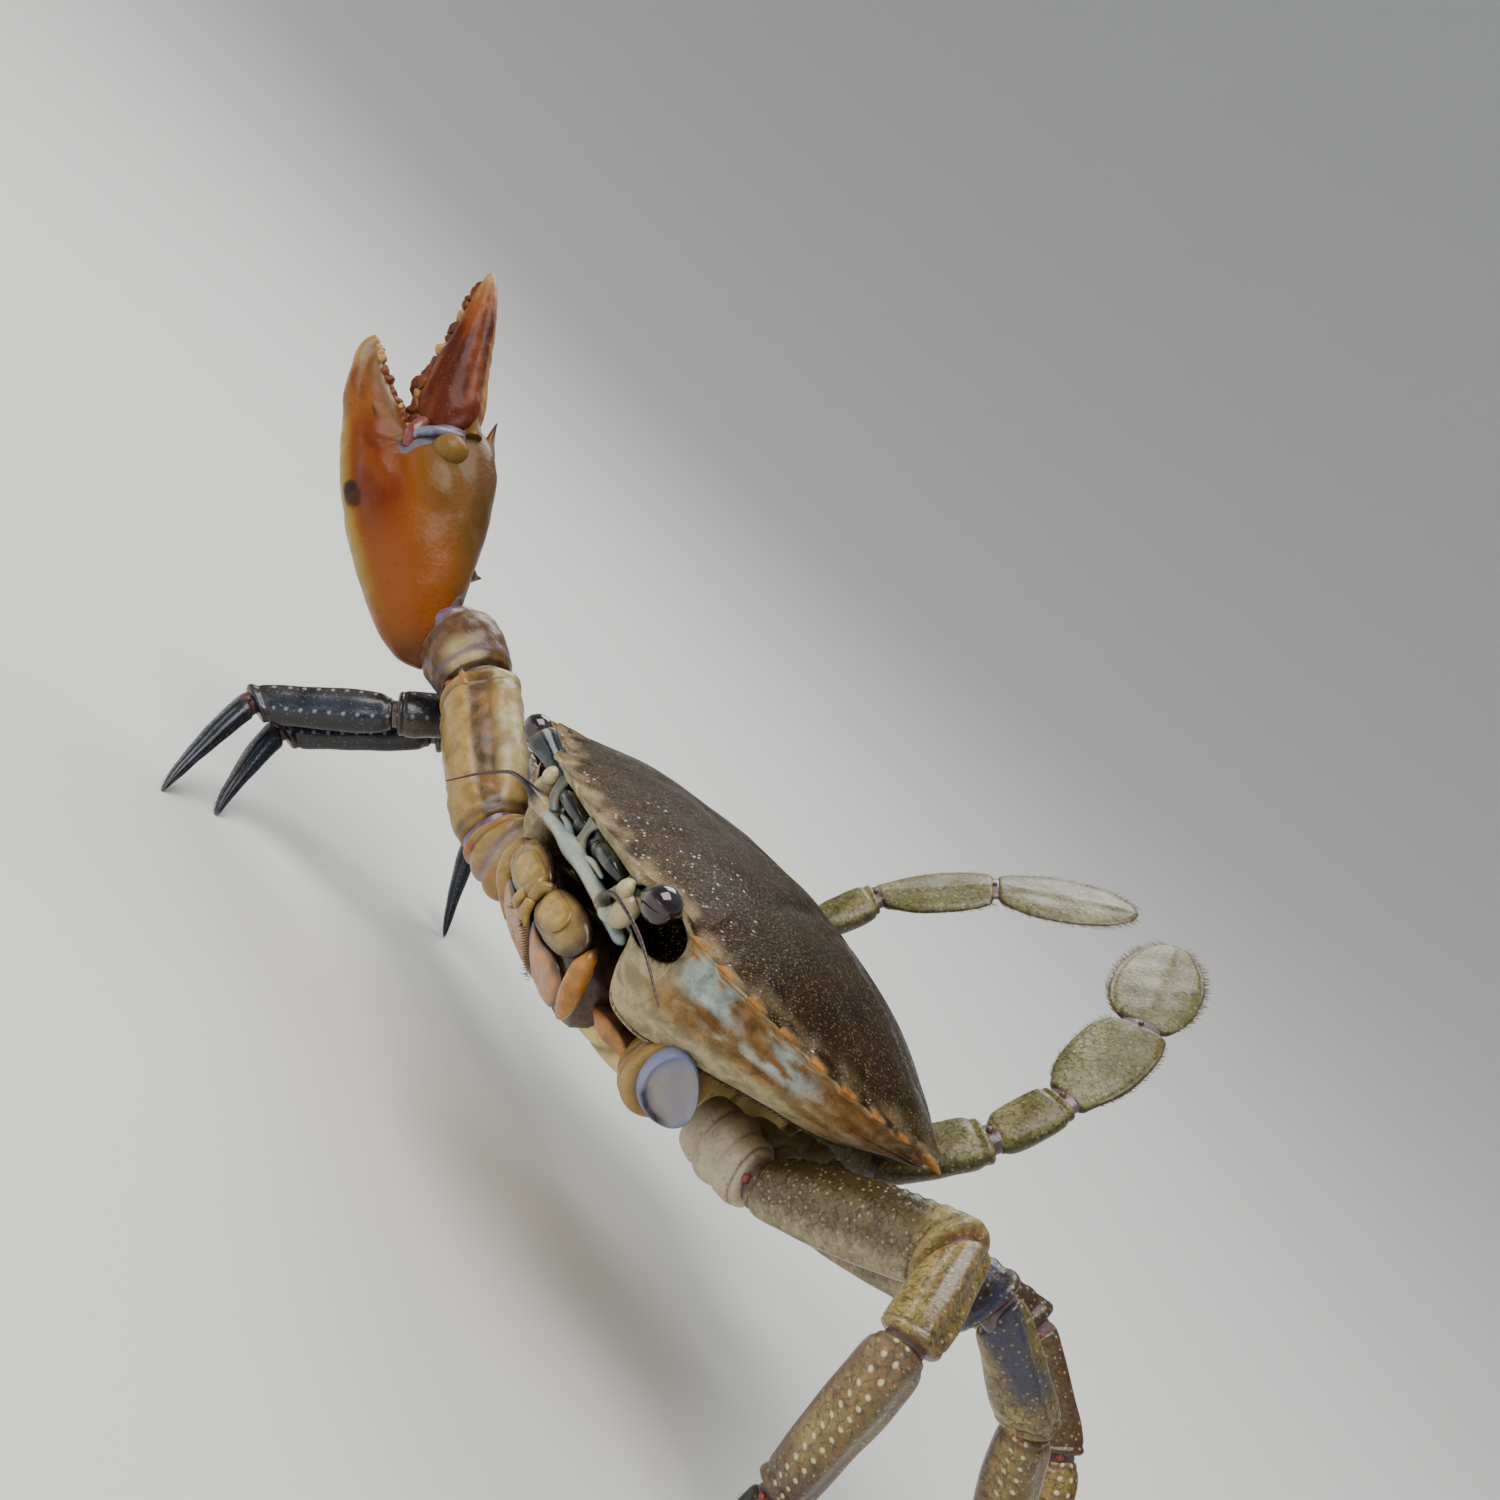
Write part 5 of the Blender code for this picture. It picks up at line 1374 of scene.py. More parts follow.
def leg_paint(number, side, kind):
    """Colours of a leg's piece: its sides, back, underside and clouds, with paler or redder ends."""
    face, back, under, cloud = (tone(*parts) for parts in LEG_TONES[side][kind])

    def colours(grid, share, turn):
        height = np.cos(2 * math.pi * turn)
        patches = wander(grid, 8, 100 + number)
        outer_end = ramp(share + 0.05 * patches, 0.78, 0.94)
        layers = [
            (ramp(height, 0.15, 0.8), back),
            (ramp(height, -0.25, -0.8), under),
            (0.75 * ramp(patches, 0, 1.1), cloud),
        ]
        if side == "left" and kind == "arm" and number == 1:
            layers.append((0.8 * outer_end, LEG_END))
        if side == "left" and kind in ("arm", "cuff") and number == 2:
            inked = ramp(share, 0.4, 0.7) if kind == "arm" else ramp(share, 0.8, 0.5)
            layers.append((0.85 * inked * ramp(patches, -0.6, 0.3), LEG_DEEP_BLUE))
        if side == "left" and kind == "shin" and number == 1:
            layers.append((0.75 * ramp(share + 0.12 * patches, 0.5, 0.92), LEG_WET_PURPLE))
        if number == 3 and kind in ("arm", "cuff"):
            layers.append((0.8 * outer_end if kind == "arm" else 0.8, LEG_MAROON))
        if kind == "toe":
            layers.append((0.7 * ramp(share, 0.12, 0.02), tone(104, 78, 54, 0.3)))
            layers.append((0.7 * ramp(share, 0.95, 1), tone(150, 140, 118, 0)))
        else:
            layers.append((0.55 * ramp(share, 0.965, 0.995), LEG_JOINT_RED))
            layers.append((0.7 * band(share, 0.91, 0.012), SEAM_BROWN))
            layers.append((0.6 * band(share, 0.05, 0.015), SEAM_BROWN))
        return layered(face, grid, *layers)
    return colours


LEG_NET_BROWN = tone(58, 46, 30)
LEG_CREAM = tone(206, 198, 158)
LEG_ROOT_FINISH = shell_finish(
    "leg_root_olive", (4, 0.35, tone(176, 154, 130)), (1.2, 0.34, 0.3, 0.4, tone(120, 92, 66)),
    (0.3, 0.5), (0.9, 0.18), net=(1.8, 0.1, SEAM_BROWN), coat=0.2, coat_roughness=0.2, shine=0.3,
)
LEG_NET_FINISH = shell_finish(
    "leg_net_olive", (2.4, 0.5, tone(96, 82, 50)), (1, 0.42, 0.45, 0.6, LEG_CREAM),
    (0.26, 0.46), (0.8, 0.24), net=(1.7, 0.15, LEG_NET_BROWN), coat=0.25, coat_roughness=0.18, shine=0.35,
)
LEG_BEAD_FINISH = shell_finish(
    "leg_beaded_olive", (2.6, 0.5, tone(110, 80, 44)), (0.9, 0.4, 0.4, 0.6, LEG_CREAM),
    (0.26, 0.46), (0.8, 0.24), net=(1.8, 0.12, LEG_NET_BROWN),
    beads=((0.16, 0.24, 0.76, 0.84), 2.5, 0.58, 28, tone(234, 226, 184)), coat=0.4, coat_roughness=0.14,
    shine=0.45,
)
LEG_SLATE_FINISH = shell_finish(
    "leg_beaded_slate", (3.4, 0.5, tone(34, 38, 48)), (0.9, 0.36, 0.3, 0.5, tone(150, 156, 160)),
    (0.2, 0.4), (0.8, 0.2), beads=((0.12, 0.32, 0.68, 0.88), 3.6, 0.7, 30, tone(150, 160, 172)),
    coat=0.35, coat_roughness=0.15,
)
TOE_FINISH = shell_finish(
    "toe_slate", (2.6, 0.5, tone(18, 20, 28)), (0.6, 0.3, 0.3, 0.5, tone(150, 156, 166)),
    (0.28, 0.46), (0.6, 0.18),
    beads=((0.08, 0.25, 0.42, 0.58, 0.75, 0.92), 2.2, 0.3, 20, tone(136, 146, 160)),
    coat=0.25, coat_roughness=0.2,
)
LEG_FINISHES = {
    "left": (LEG_ROOT_FINISH, LEG_NET_FINISH, LEG_NET_FINISH, LEG_BEAD_FINISH, TOE_FINISH),
    "right": (LEG_ROOT_FINISH, LEG_SLATE_FINISH, LEG_SLATE_FINISH, LEG_SLATE_FINISH, TOE_FINISH),
}
SKIN_FINISH = shell_finish(
    "joint_skin", (1.6, 0.4, tone(120, 92, 110)), (0.8, 0.3, 0.3, 0.4, tone(90, 60, 56)),
    (0.2, 0.45), (0.7, 0.2), coat=0.5, flesh=0.15,
)
toe_lines = []
for number, side, root, bearings, foot in LEGS:
    joints = chain(root, bearings, LEG_LENGTHS[number]) + [np.array((*foot, FLOOR_LEVEL))]
    hint = unit(np.cross(joints[2] - joints[1], (0, 0, 1)))
    leg = "walking_leg_%d_%s_" % (number, side)
    knuckle = LEG_JOINT_RED if side == "left" else LEG_JOINT_BROWN
    soft_parts = []
    for index, kind in enumerate(LEG_PIECES):
        profile = np.array(LEG_PROFILES[kind]) * (1, LEG_SCALES[number], LEG_SCALES[number])
        length = np.linalg.norm(joints[index + 1] - joints[index])
        slot, bow, flesh = ("toe", TOE_BOW, TOE_SKIN_BROWN) if kind == "toe" else ("leg", 0, LEG_SKIN_MAUVE)
        surface = limb(
            joints, index, hint, profile, leg_relief(kind, length), leg_paint(number, side, kind),
            rows=100 if kind == "arm" else 70, columns=60, bow=bow,
        )
        surface[0][:, 2] = np.maximum(surface[0][:, 2], FLOOR_LEVEL + FLOOR_GAP)
        make_piece(leg + kind + "_shell", [surface], LEG_FINISHES[side][index], [leg + kind])
        if index:
            soft_parts += joint_skin(joints, index, hint, SOCKET_SHARE * profile[0, 1:], flesh, knuckle)
    make_piece(leg + "joint_skin", soft_parts, SKIN_FINISH)
    toe_lines.append((side, joints[4:], hint, LEG_SCALES[number]))


# Swimming legs.
# The last pair of legs is raised behind the shell. Its two end pieces are thin broad plates, the
# last an oval paddle with a low midrib and a fringe of hair along its edge.

SWIM_PIECES = ("base", "arm", "cuff", "blade", "paddle")
SWIM_ROOT = (25, 29, -20)
SWIM_LENGTHS = (17, 27, 19, 32, 38)
SWIM_BEARINGS = ((52, 6), (58, 54), (90, 62), (124, 48), (140, 34))
SWIM_HINT = np.array((0, -0.68, 0.74))
SWIM_SOCKET_SHARE = 0.9
SWIM_PROFILES = {
    "base": ((0, 4.8, 4.1), (0.45, 5.4, 4.6), (0.8, 5, 4.2), (1, 4, 3.6)),
    "arm": ((0, 4.6, 3.4), (0.2, 6.4, 3.8), (0.6, 7, 3.6), (0.93, 6, 3.3), (1, 4.8, 3)),
    "cuff": ((0, 4.6, 3), (0.4, 6, 3), (0.8, 5.7, 2.8), (1, 4.4, 2.2)),
    "blade": ((0, 4.6, 2.2), (0.25, 8, 2), (0.6, 9.4, 1.8), (0.85, 8.6, 1.7), (1, 6.4, 1.6)),
    "paddle": (
        (0, 5.4, 1.5), (0.1, 8, 1.55), (0.2, 9.6, 1.6), (0.45, 11, 1.5), (0.7, 9.7, 1.2), (0.88, 6.6, 0.9),
        (0.96, 3.8, 0.7), (1, 1.6, 0.5),
    ),
}


def swim_relief(kind):
    """Midrib, rim grooves and lips of a swimming leg's piece."""
    def relief(grid, share, turn):
        inside = ramp(share, 0.05, 0.2) * ramp(share, 0.99, 0.85)
        if kind in ("blade", "paddle"):
            faces = turn_at(0.25, turn, 0.02) + turn_at(0.75, turn, 0.02)
            rims = sum(turn_at(place, turn, 0.02) for place in (0.07, 0.43, 0.57, 0.93))
            return inside * (0.3 * faces - 0.22 * rims)
        lip = 0.35 * band(share, 0.94, 0.03) - 0.3 * band(share, 0.88, 0.03) - 0.3 * band(share, 0.08, 0.03)
        return lip + inside * (0.35 * turn_at(0.1, turn, 0.04) + 0.35 * turn_at(0.6, turn, 0.04))
    return relief


SWIM_FACE = tone(138, 132, 84)
SWIM_EDGE = tone(96, 90, 56)
SWIM_PALE = tone(176, 168, 122)
SWIM_FINISH = shell_finish(
    "paddle_shell", (3.4, 0.45, tone(104, 98, 58)), (1.2, 0.4, 0.4, 0.55, tone(206, 200, 164)),
    (0.28, 0.48), (0.9, 0.2), net=(1.9, 0.15, tone(62, 56, 36)), coat=0.15, coat_roughness=0.2, shine=0.3,
)
swim_joints = {}
for side_name, side in SIDES:
    joints = swim_joints[side] = mirrored(side, chain(SWIM_ROOT, SWIM_BEARINGS, SWIM_LENGTHS))
    leg = "swimming_leg_%s_" % side_name
    soft_parts = []
    for index, kind in enumerate(SWIM_PIECES):
        surface = limb(
            joints, index, SWIM_HINT, SWIM_PROFILES[kind], swim_relief(kind),
            lambda grid, share, turn: layered(
                SWIM_FACE, grid,
                (0.7 * ramp(wander(grid, 8, 121), -0.1, 1), SWIM_PALE),
                (0.8 * ramp(np.abs(np.cos(2 * math.pi * turn)), 0.85, 1), SWIM_EDGE),
                (0.7 * band(share, 0.03, 0.02), SEAM_BROWN),
            ), rows=64, columns=72,
        )
        make_piece(leg + kind + "_shell", [surface], SWIM_FINISH, [leg + kind])
        if index:
            size = SWIM_SOCKET_SHARE * np.array(SWIM_PROFILES[kind][0][1:])
            soft_parts += joint_skin(joints, index, SWIM_HINT, size, LEG_SKIN_MAUVE, tone(120, 84, 52))
    make_piece(leg + "joint_skin", soft_parts, SKIN_FINISH)


# Right claw arm.
# Three thick pieces carry the claw: a base, a long arm with spines along its edges, and a wrist
# piece. They are cream and ochre, with dark folds and lilac joint skin between them.

CLAW_JOINTS = np.array((
    (-30, -22, -27.5), (-46.5, -35.5, -28), (-88, -42, -9.5), (-104.1, -48.6, -5.2),
))
CLAW_HINT = unit((0.25, 0.9, 0.35))
CLAW_CREAM = tone(208, 196, 148)
CLAW_ORANGE_CREAM = tone(200, 172, 108)
CLAW_OCHRE = tone(190, 144, 72)
# Dark colour of folds and spine tips, and painted shade along the arm's groove.
CLAW_FOLD_AND_SHADE = tone(62, 44, 34)
WRIST_BROWN = tone(88, 64, 54)
CLAW_PROFILES = {
    "base": ((0, 9, 7.4), (0.25, 9.8, 8.2), (0.5, 10.2, 8.6), (0.82, 10, 8.4), (1, 8.4, 7.4)),
    "arm": (
        (0, 7.4, 6.9), (0.06, 8.4, 7.9), (0.12, 9, 8.6), (0.5, 10.6, 10), (0.85, 10.9, 9.9),
        (0.95, 10.4, 9.4), (1, 8.8, 7.8),
    ),
    "cuff": (
        (0, 8.6, 7.8), (0.12, 9.8, 8.8), (0.3, 10.8, 9.6), (0.75, 11.6, 10.4), (0.92, 11.2, 10),
        (1, 9.8, 8.8),
    ),
}
ARM_RIDGE = (0, -0.2, 1)
ARM_GROOVE = (0, -0.75, 0.66)
ARM_BACK = (0, 1, 0.3)


def looking(grid, heading):
    """How far each point lies to one side of its ring: 1 where it lies there most."""
    side = unit(grid - grid.mean(axis=1)[:, None]) @ unit(heading)
    return side / side.max(axis=1)[:, None]


def claw_relief(kind):
    """Folds and lips of a piece of the claw's arm."""
    def relief(grid, share, turn):
        lip = 0.4 * band(share, 0.95, 0.03) - 0.4 * band(share, 0.89, 0.03) - 0.4 * band(share, 0.07, 0.03)
        lip = lip + 0.28 * wander(grid, 8, 134) + 0.12 * wander(grid, 3, 135)
        inside = ramp(share, 0.05, 0.2) * ramp(share, 0.97, 0.85)
        if kind == "base":
            folds = band(share, 0.4, 0.05) + band(share, 0.72, 0.05)
            return lip - 0.8 * folds + 0.5 * band(share, 0.56, 0.1)
        if kind == "arm":
            fold = band(looking(grid, ARM_GROOVE), 1, 0.075)
            return lip + inside * (0.5 * band(looking(grid, ARM_RIDGE), 1, 0.1) - 1.5 * fold)
        knobs = np.maximum(wander(grid, 5.5, 131), 0)
        return lip + inside * 0.55 * knobs
    return relief


def claw_paint(kind):
    """Colours of a piece of the claw's arm, with painted shade along the arm's groove."""
    def colours(grid, share, turn):
        clouds = wander(grid, 9, 132)
        ends = [
            (0.8 * band(share, 0.89, 0.012), CLAW_FOLD_AND_SHADE),
            (0.4 * ramp(share, 0.84, 0.96), CLAW_OCHRE),
            (0.7 * band(share, 0.06, 0.03), CLAW_FOLD_AND_SHADE),
        ]
        if kind == "base":
            return layered(
                CLAW_ORANGE_CREAM, grid,
                (0.8 * ramp(clouds, 0.1, 1), CLAW_OCHRE),
                (0.7 * band(share, 0.72, 0.07), SKIN_LILAC),
                (0.8 * band(share, 0.4, 0.035), CLAW_FOLD_AND_SHADE), *ends)
        if kind == "arm":
            return layered(
                CLAW_ORANGE_CREAM, grid,
                (ramp(looking(grid, ARM_RIDGE), 0.72, 0.95), CLAW_CREAM),
                # Painted shade: the dark line down the arm's groove.
                (0.9 * ramp(looking(grid, ARM_GROOVE), 0.935, 0.97), CLAW_FOLD_AND_SHADE),
                (0.8 * ramp(looking(grid, ARM_BACK), 0.2, 0.8), tone(120, 96, 52)),
                (0.5 * ramp(clouds, 0.2, 1.1), CLAW_OCHRE),
                (0.6 * ramp(wander(grid, 3.4, 133), 0, 1), tone(140, 112, 70)), *ends)
        return layered(
            WRIST_BROWN, grid,
            (0.7 * ramp(clouds, -0.1, 0.9), tone(116, 84, 54)),
            (0.8 * spot(grid, (-88.2, -52.1, -5.4), 7), tone(222, 206, 160)),
            (0.8 * band(share, 0.3, 0.05) * ramp(clouds, -0.4, 0.4), tone(128, 116, 148)), *ends)
    return colours


def thorn(root, heading, length, radius, base, end):
    """Pointed spine, slightly hooked, with its foot sunk in the surface under it."""
    root, heading = np.array(root, float), unit(heading)
    lean = np.array((0, 0, 0.12 * length))
    radii = [radius * 1.1, radius, 0.5 * radius, 0.12]
    return tube(
        [root - heading * 1.2, root, root + heading * (0.5 * length), root + heading * length + lean],
        radii, radii, lambda grid, share, turn: layered(base, grid, (ramp(share, 0.55, 0.85), end)),
        up=unit(np.cross(heading, (0.31, 0.2, 0.93))), rows=16, columns=14, round_ends=(0.03, 0.02),
    )


CLAW_ARM_FINISH = shell_finish(
    "claw_arm_shell", (3, 0.45, tone(160, 126, 76)), (1.2, 0.34, 0.35, 0.45, tone(136, 96, 56)),
    (0.3, 0.5), (1, 0.2), coat=0.2, coat_roughness=0.2, flesh=0.04, shine=0.3,
)
for index, kind in enumerate(CLAW_PROFILES):
    surfaces = [limb(
        CLAW_JOINTS, index, CLAW_HINT, CLAW_PROFILES[kind], claw_relief(kind), claw_paint(kind),
        rows=90, columns=72,
    )]
    if kind == "arm":
        elbow, wrist_end = CLAW_JOINTS[1:3]
        along, thin, tall = limb_axes(elbow, wrist_end, CLAW_HINT)
        for share, across, heading, length, radius in (
            (0.9, tall * 6.2 - thin * 6.6, along - thin * 0.35 + tall * 0.35, 4.4, 1.7),
            (0.78, thin * 8.6, along * 0.6 + thin, 3.8, 2),
        ):
            root = elbow * (1 - share) + wrist_end * share + across
            surfaces.append(thorn(root, heading, length, radius, CLAW_OCHRE, CLAW_FOLD_AND_SHADE))
    make_piece("claw_" + kind + "_shell", surfaces, CLAW_ARM_FINISH, ["claw_" + kind])
claw_skins = []
for index, size in ((1, (7.4, 6.6)), (2, (8, 7.2))):
    claw_skins += joint_skin(CLAW_JOINTS, index, CLAW_HINT, size, tone(150, 138, 172), tone(196, 112, 56))
make_piece("claw_arm_skin", claw_skins, SKIN_FINISH)


# Right claw.
# The palm is one swollen shell that runs on into the fixed finger. The other finger turns on a
# hinge at the palm's far end, with a knob beside it and a collar of bluish soft skin.

WRIST = np.array((-105, -49, -5))
HAND_ALONG = unit(np.array((-179.3, -93.5, 34)) - WRIST)
HAND_UP = np.array((0.134, 0.518, 0.845))
HAND_UP = unit(HAND_UP - HAND_ALONG * (HAND_UP @ HAND_ALONG))
HAND_OUT = np.cross(HAND_ALONG, HAND_UP)
HAND_AXES = np.stack((HAND_ALONG, HAND_UP, HAND_OUT))
HAND_SECTIONS = (
    (-6.5, -10, 9.5, 3.5, 5.5), (-5.3, -12, 11.3, 5.5, 7.5), (1, -17, 21, 11.5, 11),
    (15.7, -19.6, 30.3, 17, 13.4), (33.9, -19.8, 40.1, 21.6, 14.2), (45, -19, 49, 23.4, 13.4),
    (51, -18, 55, 22.4, 12.2), (54, -17.4, 57.2, 20, 11.4), (56.5, -17, 57, 14, 10.8),
    (59, -16.4, 56.6, 8, 10.4), (61.5, -15.8, 58, 4.6, 9.6), (66, -14.6, 64, 3.4, 8.4),
    (72, -12.8, 71.5, 2.4, 7), (82, -9.6, 81, 1.4, 5.2), (90, -5.6, 89, 1.8, 3.4),
    (94.5, -1.6, 93.5, 2.4, 1.6), (96.3, 0.9, 95.9, 2.2, 0.5),
)
INNER_FLATNESS = 0.8
CLAW_DEEP_ORANGE = tone(134, 60, 12)
CLAW_ORANGE = tone(166, 104, 26)
CLAW_OLIVE_TAN = tone(132, 106, 50)
CLAW_RIM = tone(200, 182, 96)
CLAW_TIP_CREAM = tone(214, 178, 122)
CLAW_DARK_MARK = tone(40, 30, 24)
TOOTH_BROWN = tone(140, 86, 50)


def on_hand(along, up, out=0):
    """Place on the hand: along it, up towards the moving finger, out to its outer face."""
    return WRIST + places_at(along, up, out) @ HAND_AXES


def in_hand(points):
    """Hand coordinates (along, up, out) of places."""
    return (points - WRIST) @ HAND_AXES.T


sections = np.array(HAND_SECTIONS)
station = np.linspace(0, len(sections) - 1, 150)
section = eased(station, np.arange(len(sections)), sections)
turn = circle(96)
rise = np.sign(np.sin(turn)) * np.abs(np.sin(turn)) ** 0.9
out = np.cos(turn) * np.where(np.cos(turn) < 0, INNER_FLATNESS, 1) * section[:, 4:5]
low_share = 0.5 - 0.5 * rise
along = section[:, 0:1] * low_share + section[:, 2:3] * (1 - low_share)
up = section[:, 1:2] * low_share + section[:, 3:4] * (1 - low_share)
hand = on_hand(along, up, out)
local = in_hand(hand)
inner = ramp(local[..., 2], 1, -3)
hinge_hollow = ramp(along, 50.4, 52.2) * ramp(along, 58.5, 57) * ramp(up, -1.5, 0.5) * ramp(up, 19, 17)
over_low_edge = up - section[:, 1:2]
hand_relief = (
    -1.3 * inner * hinge_hollow + 0.18 * wander(hand, 9, 141) + 0.08 * wander(hand, 3, 142)
    + 1.3 * inner * spot(local, (40, 6.5, -11), (12, 6.5, 14))
    - 1.4 * inner * spot(local, (52, -1, -8), (13, 5, 10))
    - 0.7 * inner * spot(local, (30, 14, -9), (20, 3.6, 12))
    + 0.5 * band(over_low_edge, 2, 1.6) - 0.5 * band(over_low_edge, 5.5, 1.6) * ramp(along, 10, 30)
)
near_end = np.minimum(station, len(sections) - 1 - station)[:, None]
hand = swollen(hand, hand_relief * ramp(near_end, 0, 1.5))
clouds = wander(hand, 12, 143)
streaks = wander(places_at(0.25 * along, up, 0.6 * out), 3.4, 144)
flat_sheared = places_at(along - 0.6 * up, up, 0)
flat = places_at(along, up, 0)
upper_half = ramp(up + 2.5 * clouds, 5, 19) * ramp(along + 3 * clouds, 20, 52)
hand_paint = layered(
    CLAW_ORANGE, hand,
    (0.85 * ramp(up + 2 * clouds, -1, 12), CLAW_OLIVE_TAN),
    (spot(flat_sheared, (52, -8, 0), (28, 11, 99)) * inner, CLAW_DEEP_ORANGE),
    (0.6 * spot(flat, (16, -8, 0), (26, 12, 99)), tone(168, 100, 34)),
    (0.45 * ramp(streaks, 0.3, 1) * ramp(along, 15, 50), tone(170, 96, 30)),
    (0.6 * inner * upper_half, tone(112, 100, 62)),
    (0.85 * ramp(over_low_edge, 4.6, 1.2) * ramp(along, 5, 25), CLAW_RIM),
    (0.75 * (1 - inner) * ramp(clouds, -0.8, 0.6), tone(132, 92, 40)),
    (0.7 * (1 - inner) * ramp(streaks, 0.3, 0.9), tone(96, 74, 40)),
    (0.9 * ramp(along + 3 * streaks, 62, 76), tone(168, 112, 60)),
    (0.8 * ramp(along + 6 * clouds, 64, 80) * ramp(streaks, -0.2, 0.6), TOOTH_BROWN),
    (ramp(along + 2 * streaks, 84, 92), CLAW_TIP_CREAM),
    (inner * ramp(spot(local, (44.5, -15.4, -6), (5.6, 2.7, 8)), 0.1, 0.5), CLAW_DARK_MARK),
    (0.6 * inner * ramp(section[:, 3:4] - up, 7, 3) * ramp(along, 18, 30), tone(104, 88, 46)),
    (inner * hinge_hollow, tone(140, 140, 152)),
    (0.7 * inner * band(hinge_hollow, 0.5, 0.35), tone(70, 58, 48)),
    (0.8 * inner * spot(local, (67, -4, -6), (4, 0.9, 9)), CLAW_DARK_MARK),
    (0.6 * ramp(along, 4, -3), WRIST_BROWN),
)
CLAW_FINISH = shell_finish(
    "claw_shell", (9, 0.3, tone(150, 90, 34)), (1.6, 0.34, 0.3, 0.35, tone(116, 70, 30)),
    (0.3, 0.46), (1.3, 0.22), coat=0.1, coat_roughness=0.2, shine=0.16,
)
BITE_COUNT = 15
random_teeth = np.random.default_rng(7)


def bite(place, size, colour, seed):
    """Rough worn tooth, an uneven lump partly sunk in the finger."""
    lump = ball(14, 20, 0.08) * size
    lump = np.array(place) + lump * (1 + 0.16 * wander(lump, 1.4, seed))[..., None]
    worn = 0.5 * ramp(wander(lump, 1.6, seed + 1), 0.1, 0.9)
    return skin(lump, layered(colour, lump, (worn, CLAW_DARK_MARK)))


hand_surfaces = [skin(hand, hand_paint)]
edge_along, edge_up = section[:, 2], section[:, 3]
for step in range(BITE_COUNT):
    place = 59.5 + 2.3 * step
    height = float(np.interp(place, edge_along[80:], edge_up[80:]))
    size = (3.3 if step < 4 else 2.8 - 0.08 * step) * random_teeth.uniform(0.7, 1.2)
    hand_surfaces.append(bite(
        on_hand(place, height - 0.15 * size, random_teeth.uniform(-0.8, 0.8)), size,
        TOOTH_BROWN if random_teeth.random() < 0.6 else CLAW_TIP_CREAM, 150 + step,
    ))
for root, heading, length, radius in (
    ((52.5, 21.6, 3.5), HAND_UP * 0.55 + HAND_ALONG, 9.3, 2.5),
    ((53, 19.5, -6), HAND_UP * 0.45 + HAND_ALONG, 6.8, 2.1),
    ((19.5, 8, 6.8), HAND_UP * 0.6 + HAND_OUT, 4.8, 2.2),
):
    hand_surfaces.append(thorn(on_hand(*root), heading, length, radius, CLAW_OLIVE_TAN, CLAW_FOLD_AND_SHADE))
hand_surfaces.append(ellipsoid(on_hand(48.6, 12, -7.4), (5.6, 5, 5), tone(150, 124, 66)))
make_piece("claw_palm_shell", hand_surfaces, CLAW_FINISH, ["claw_hand", "claw_fixed_finger"])

FINGER_STATIONS = np.array((
    (55.6, 12, 6.6, 5.8), (60, 13.4, 7.8, 6.9), (66, 15.6, 9.2, 7.4), (75, 20.2, 8, 6.6),
    (85, 26.2, 6.3, 5.5), (95, 31.8, 4.4, 4.2), (102.5, 35.6, 2.7, 2.8), (106.2, 37.4, 1.6, 1.7),
    (107.6, 38, 0.9, 0.9),
))
finger_path = on_hand(FINGER_STATIONS[:, 0], FINGER_STATIONS[:, 1])
finger_heights, finger_widths = FINGER_STATIONS[:, 2], FINGER_STATIONS[:, 3]
FINGER_MAROON = tone(104, 52, 26)
FINGER_ORANGE = tone(158, 90, 38)


def finger_paint(grid, share, turn):
    """Colours of the moving finger: maroon at its root, orange streaks, a cream tip and outer edge."""
    local = in_hand(grid)
    streaks = wander(local @ ((0.2, -0.6, 0), (0, 1, 0), (0, 0, 1)), 3, 161)
    outer_edge = looking(grid, HAND_UP - 0.5 * HAND_ALONG)
    return layered(
        FINGER_MAROON, grid,
        (0.8 * ramp(streaks, -0.3, 1), FINGER_ORANGE),
        (0.6 * ramp(share, 0.35, 0.12), tone(128, 58, 34)),
        (0.8 * ramp(share + 0.06 * streaks, 0.62, 0.8), tone(176, 112, 60)),
        (0.8 * ramp(share + 0.05 * streaks, 0.8, 0.95), CLAW_TIP_CREAM),
        (0.85 * ramp(outer_edge, 0.93, 0.985), tone(214, 160, 100)),
    )


finger_surfaces = [tube(
    finger_path, finger_heights, finger_widths, finger_paint,
    up=HAND_OUT, rows=110, columns=64, round_ends=(0.05, 0.012),
    relief=lambda grid, share, turn: (
        0.15 * wander(grid, 6, 162) + 0.1 * wander(grid, 2.4, 163)
        - ramp(share, 0.1, 0.3) * ramp(share, 1, 0.8) * (
            0.6 * (turn_at(0.06, turn, 0.035) + turn_at(0.44, turn, 0.035))
            + 0.5 * (turn_at(0.9, turn, 0.03) + turn_at(0.6, turn, 0.03)))
    ),
)]
for step in range(BITE_COUNT):
    place = 1.2 + 0.36 * step
    index = int(place)
    blend = place - index
    inward = unit(np.cross(finger_path[index + 1] - finger_path[index], HAND_OUT))
    half_height = finger_heights[index] * (1 - blend) + finger_heights[index + 1] * blend
    size = (5 if step == 4 else 3.3 - 0.13 * step) * random_teeth.uniform(0.75, 1.15)
    root = finger_path[index] * (1 - blend) + finger_path[index + 1] * blend
    finger_surfaces.append(bite(
        root + inward * (half_height - 0.1 * size) + HAND_OUT * random_teeth.uniform(-0.7, 0.7), size,
        TOOTH_BROWN if random_teeth.random() < 0.7 else CLAW_TIP_CREAM, 170 + step,
    ))
FINGER_FINISH = shell_finish(
    "claw_finger_shell", (4, 0.35, tone(92, 34, 22)), (1, 0.34, 0.3, 0.4, tone(196, 118, 60)),
    (0.34, 0.5), (0.9, 0.2), coat=0.08, coat_roughness=0.2, shine=0.14,
)
make_piece("claw_finger_shell", finger_surfaces, FINGER_FINISH, ["claw_finger"])
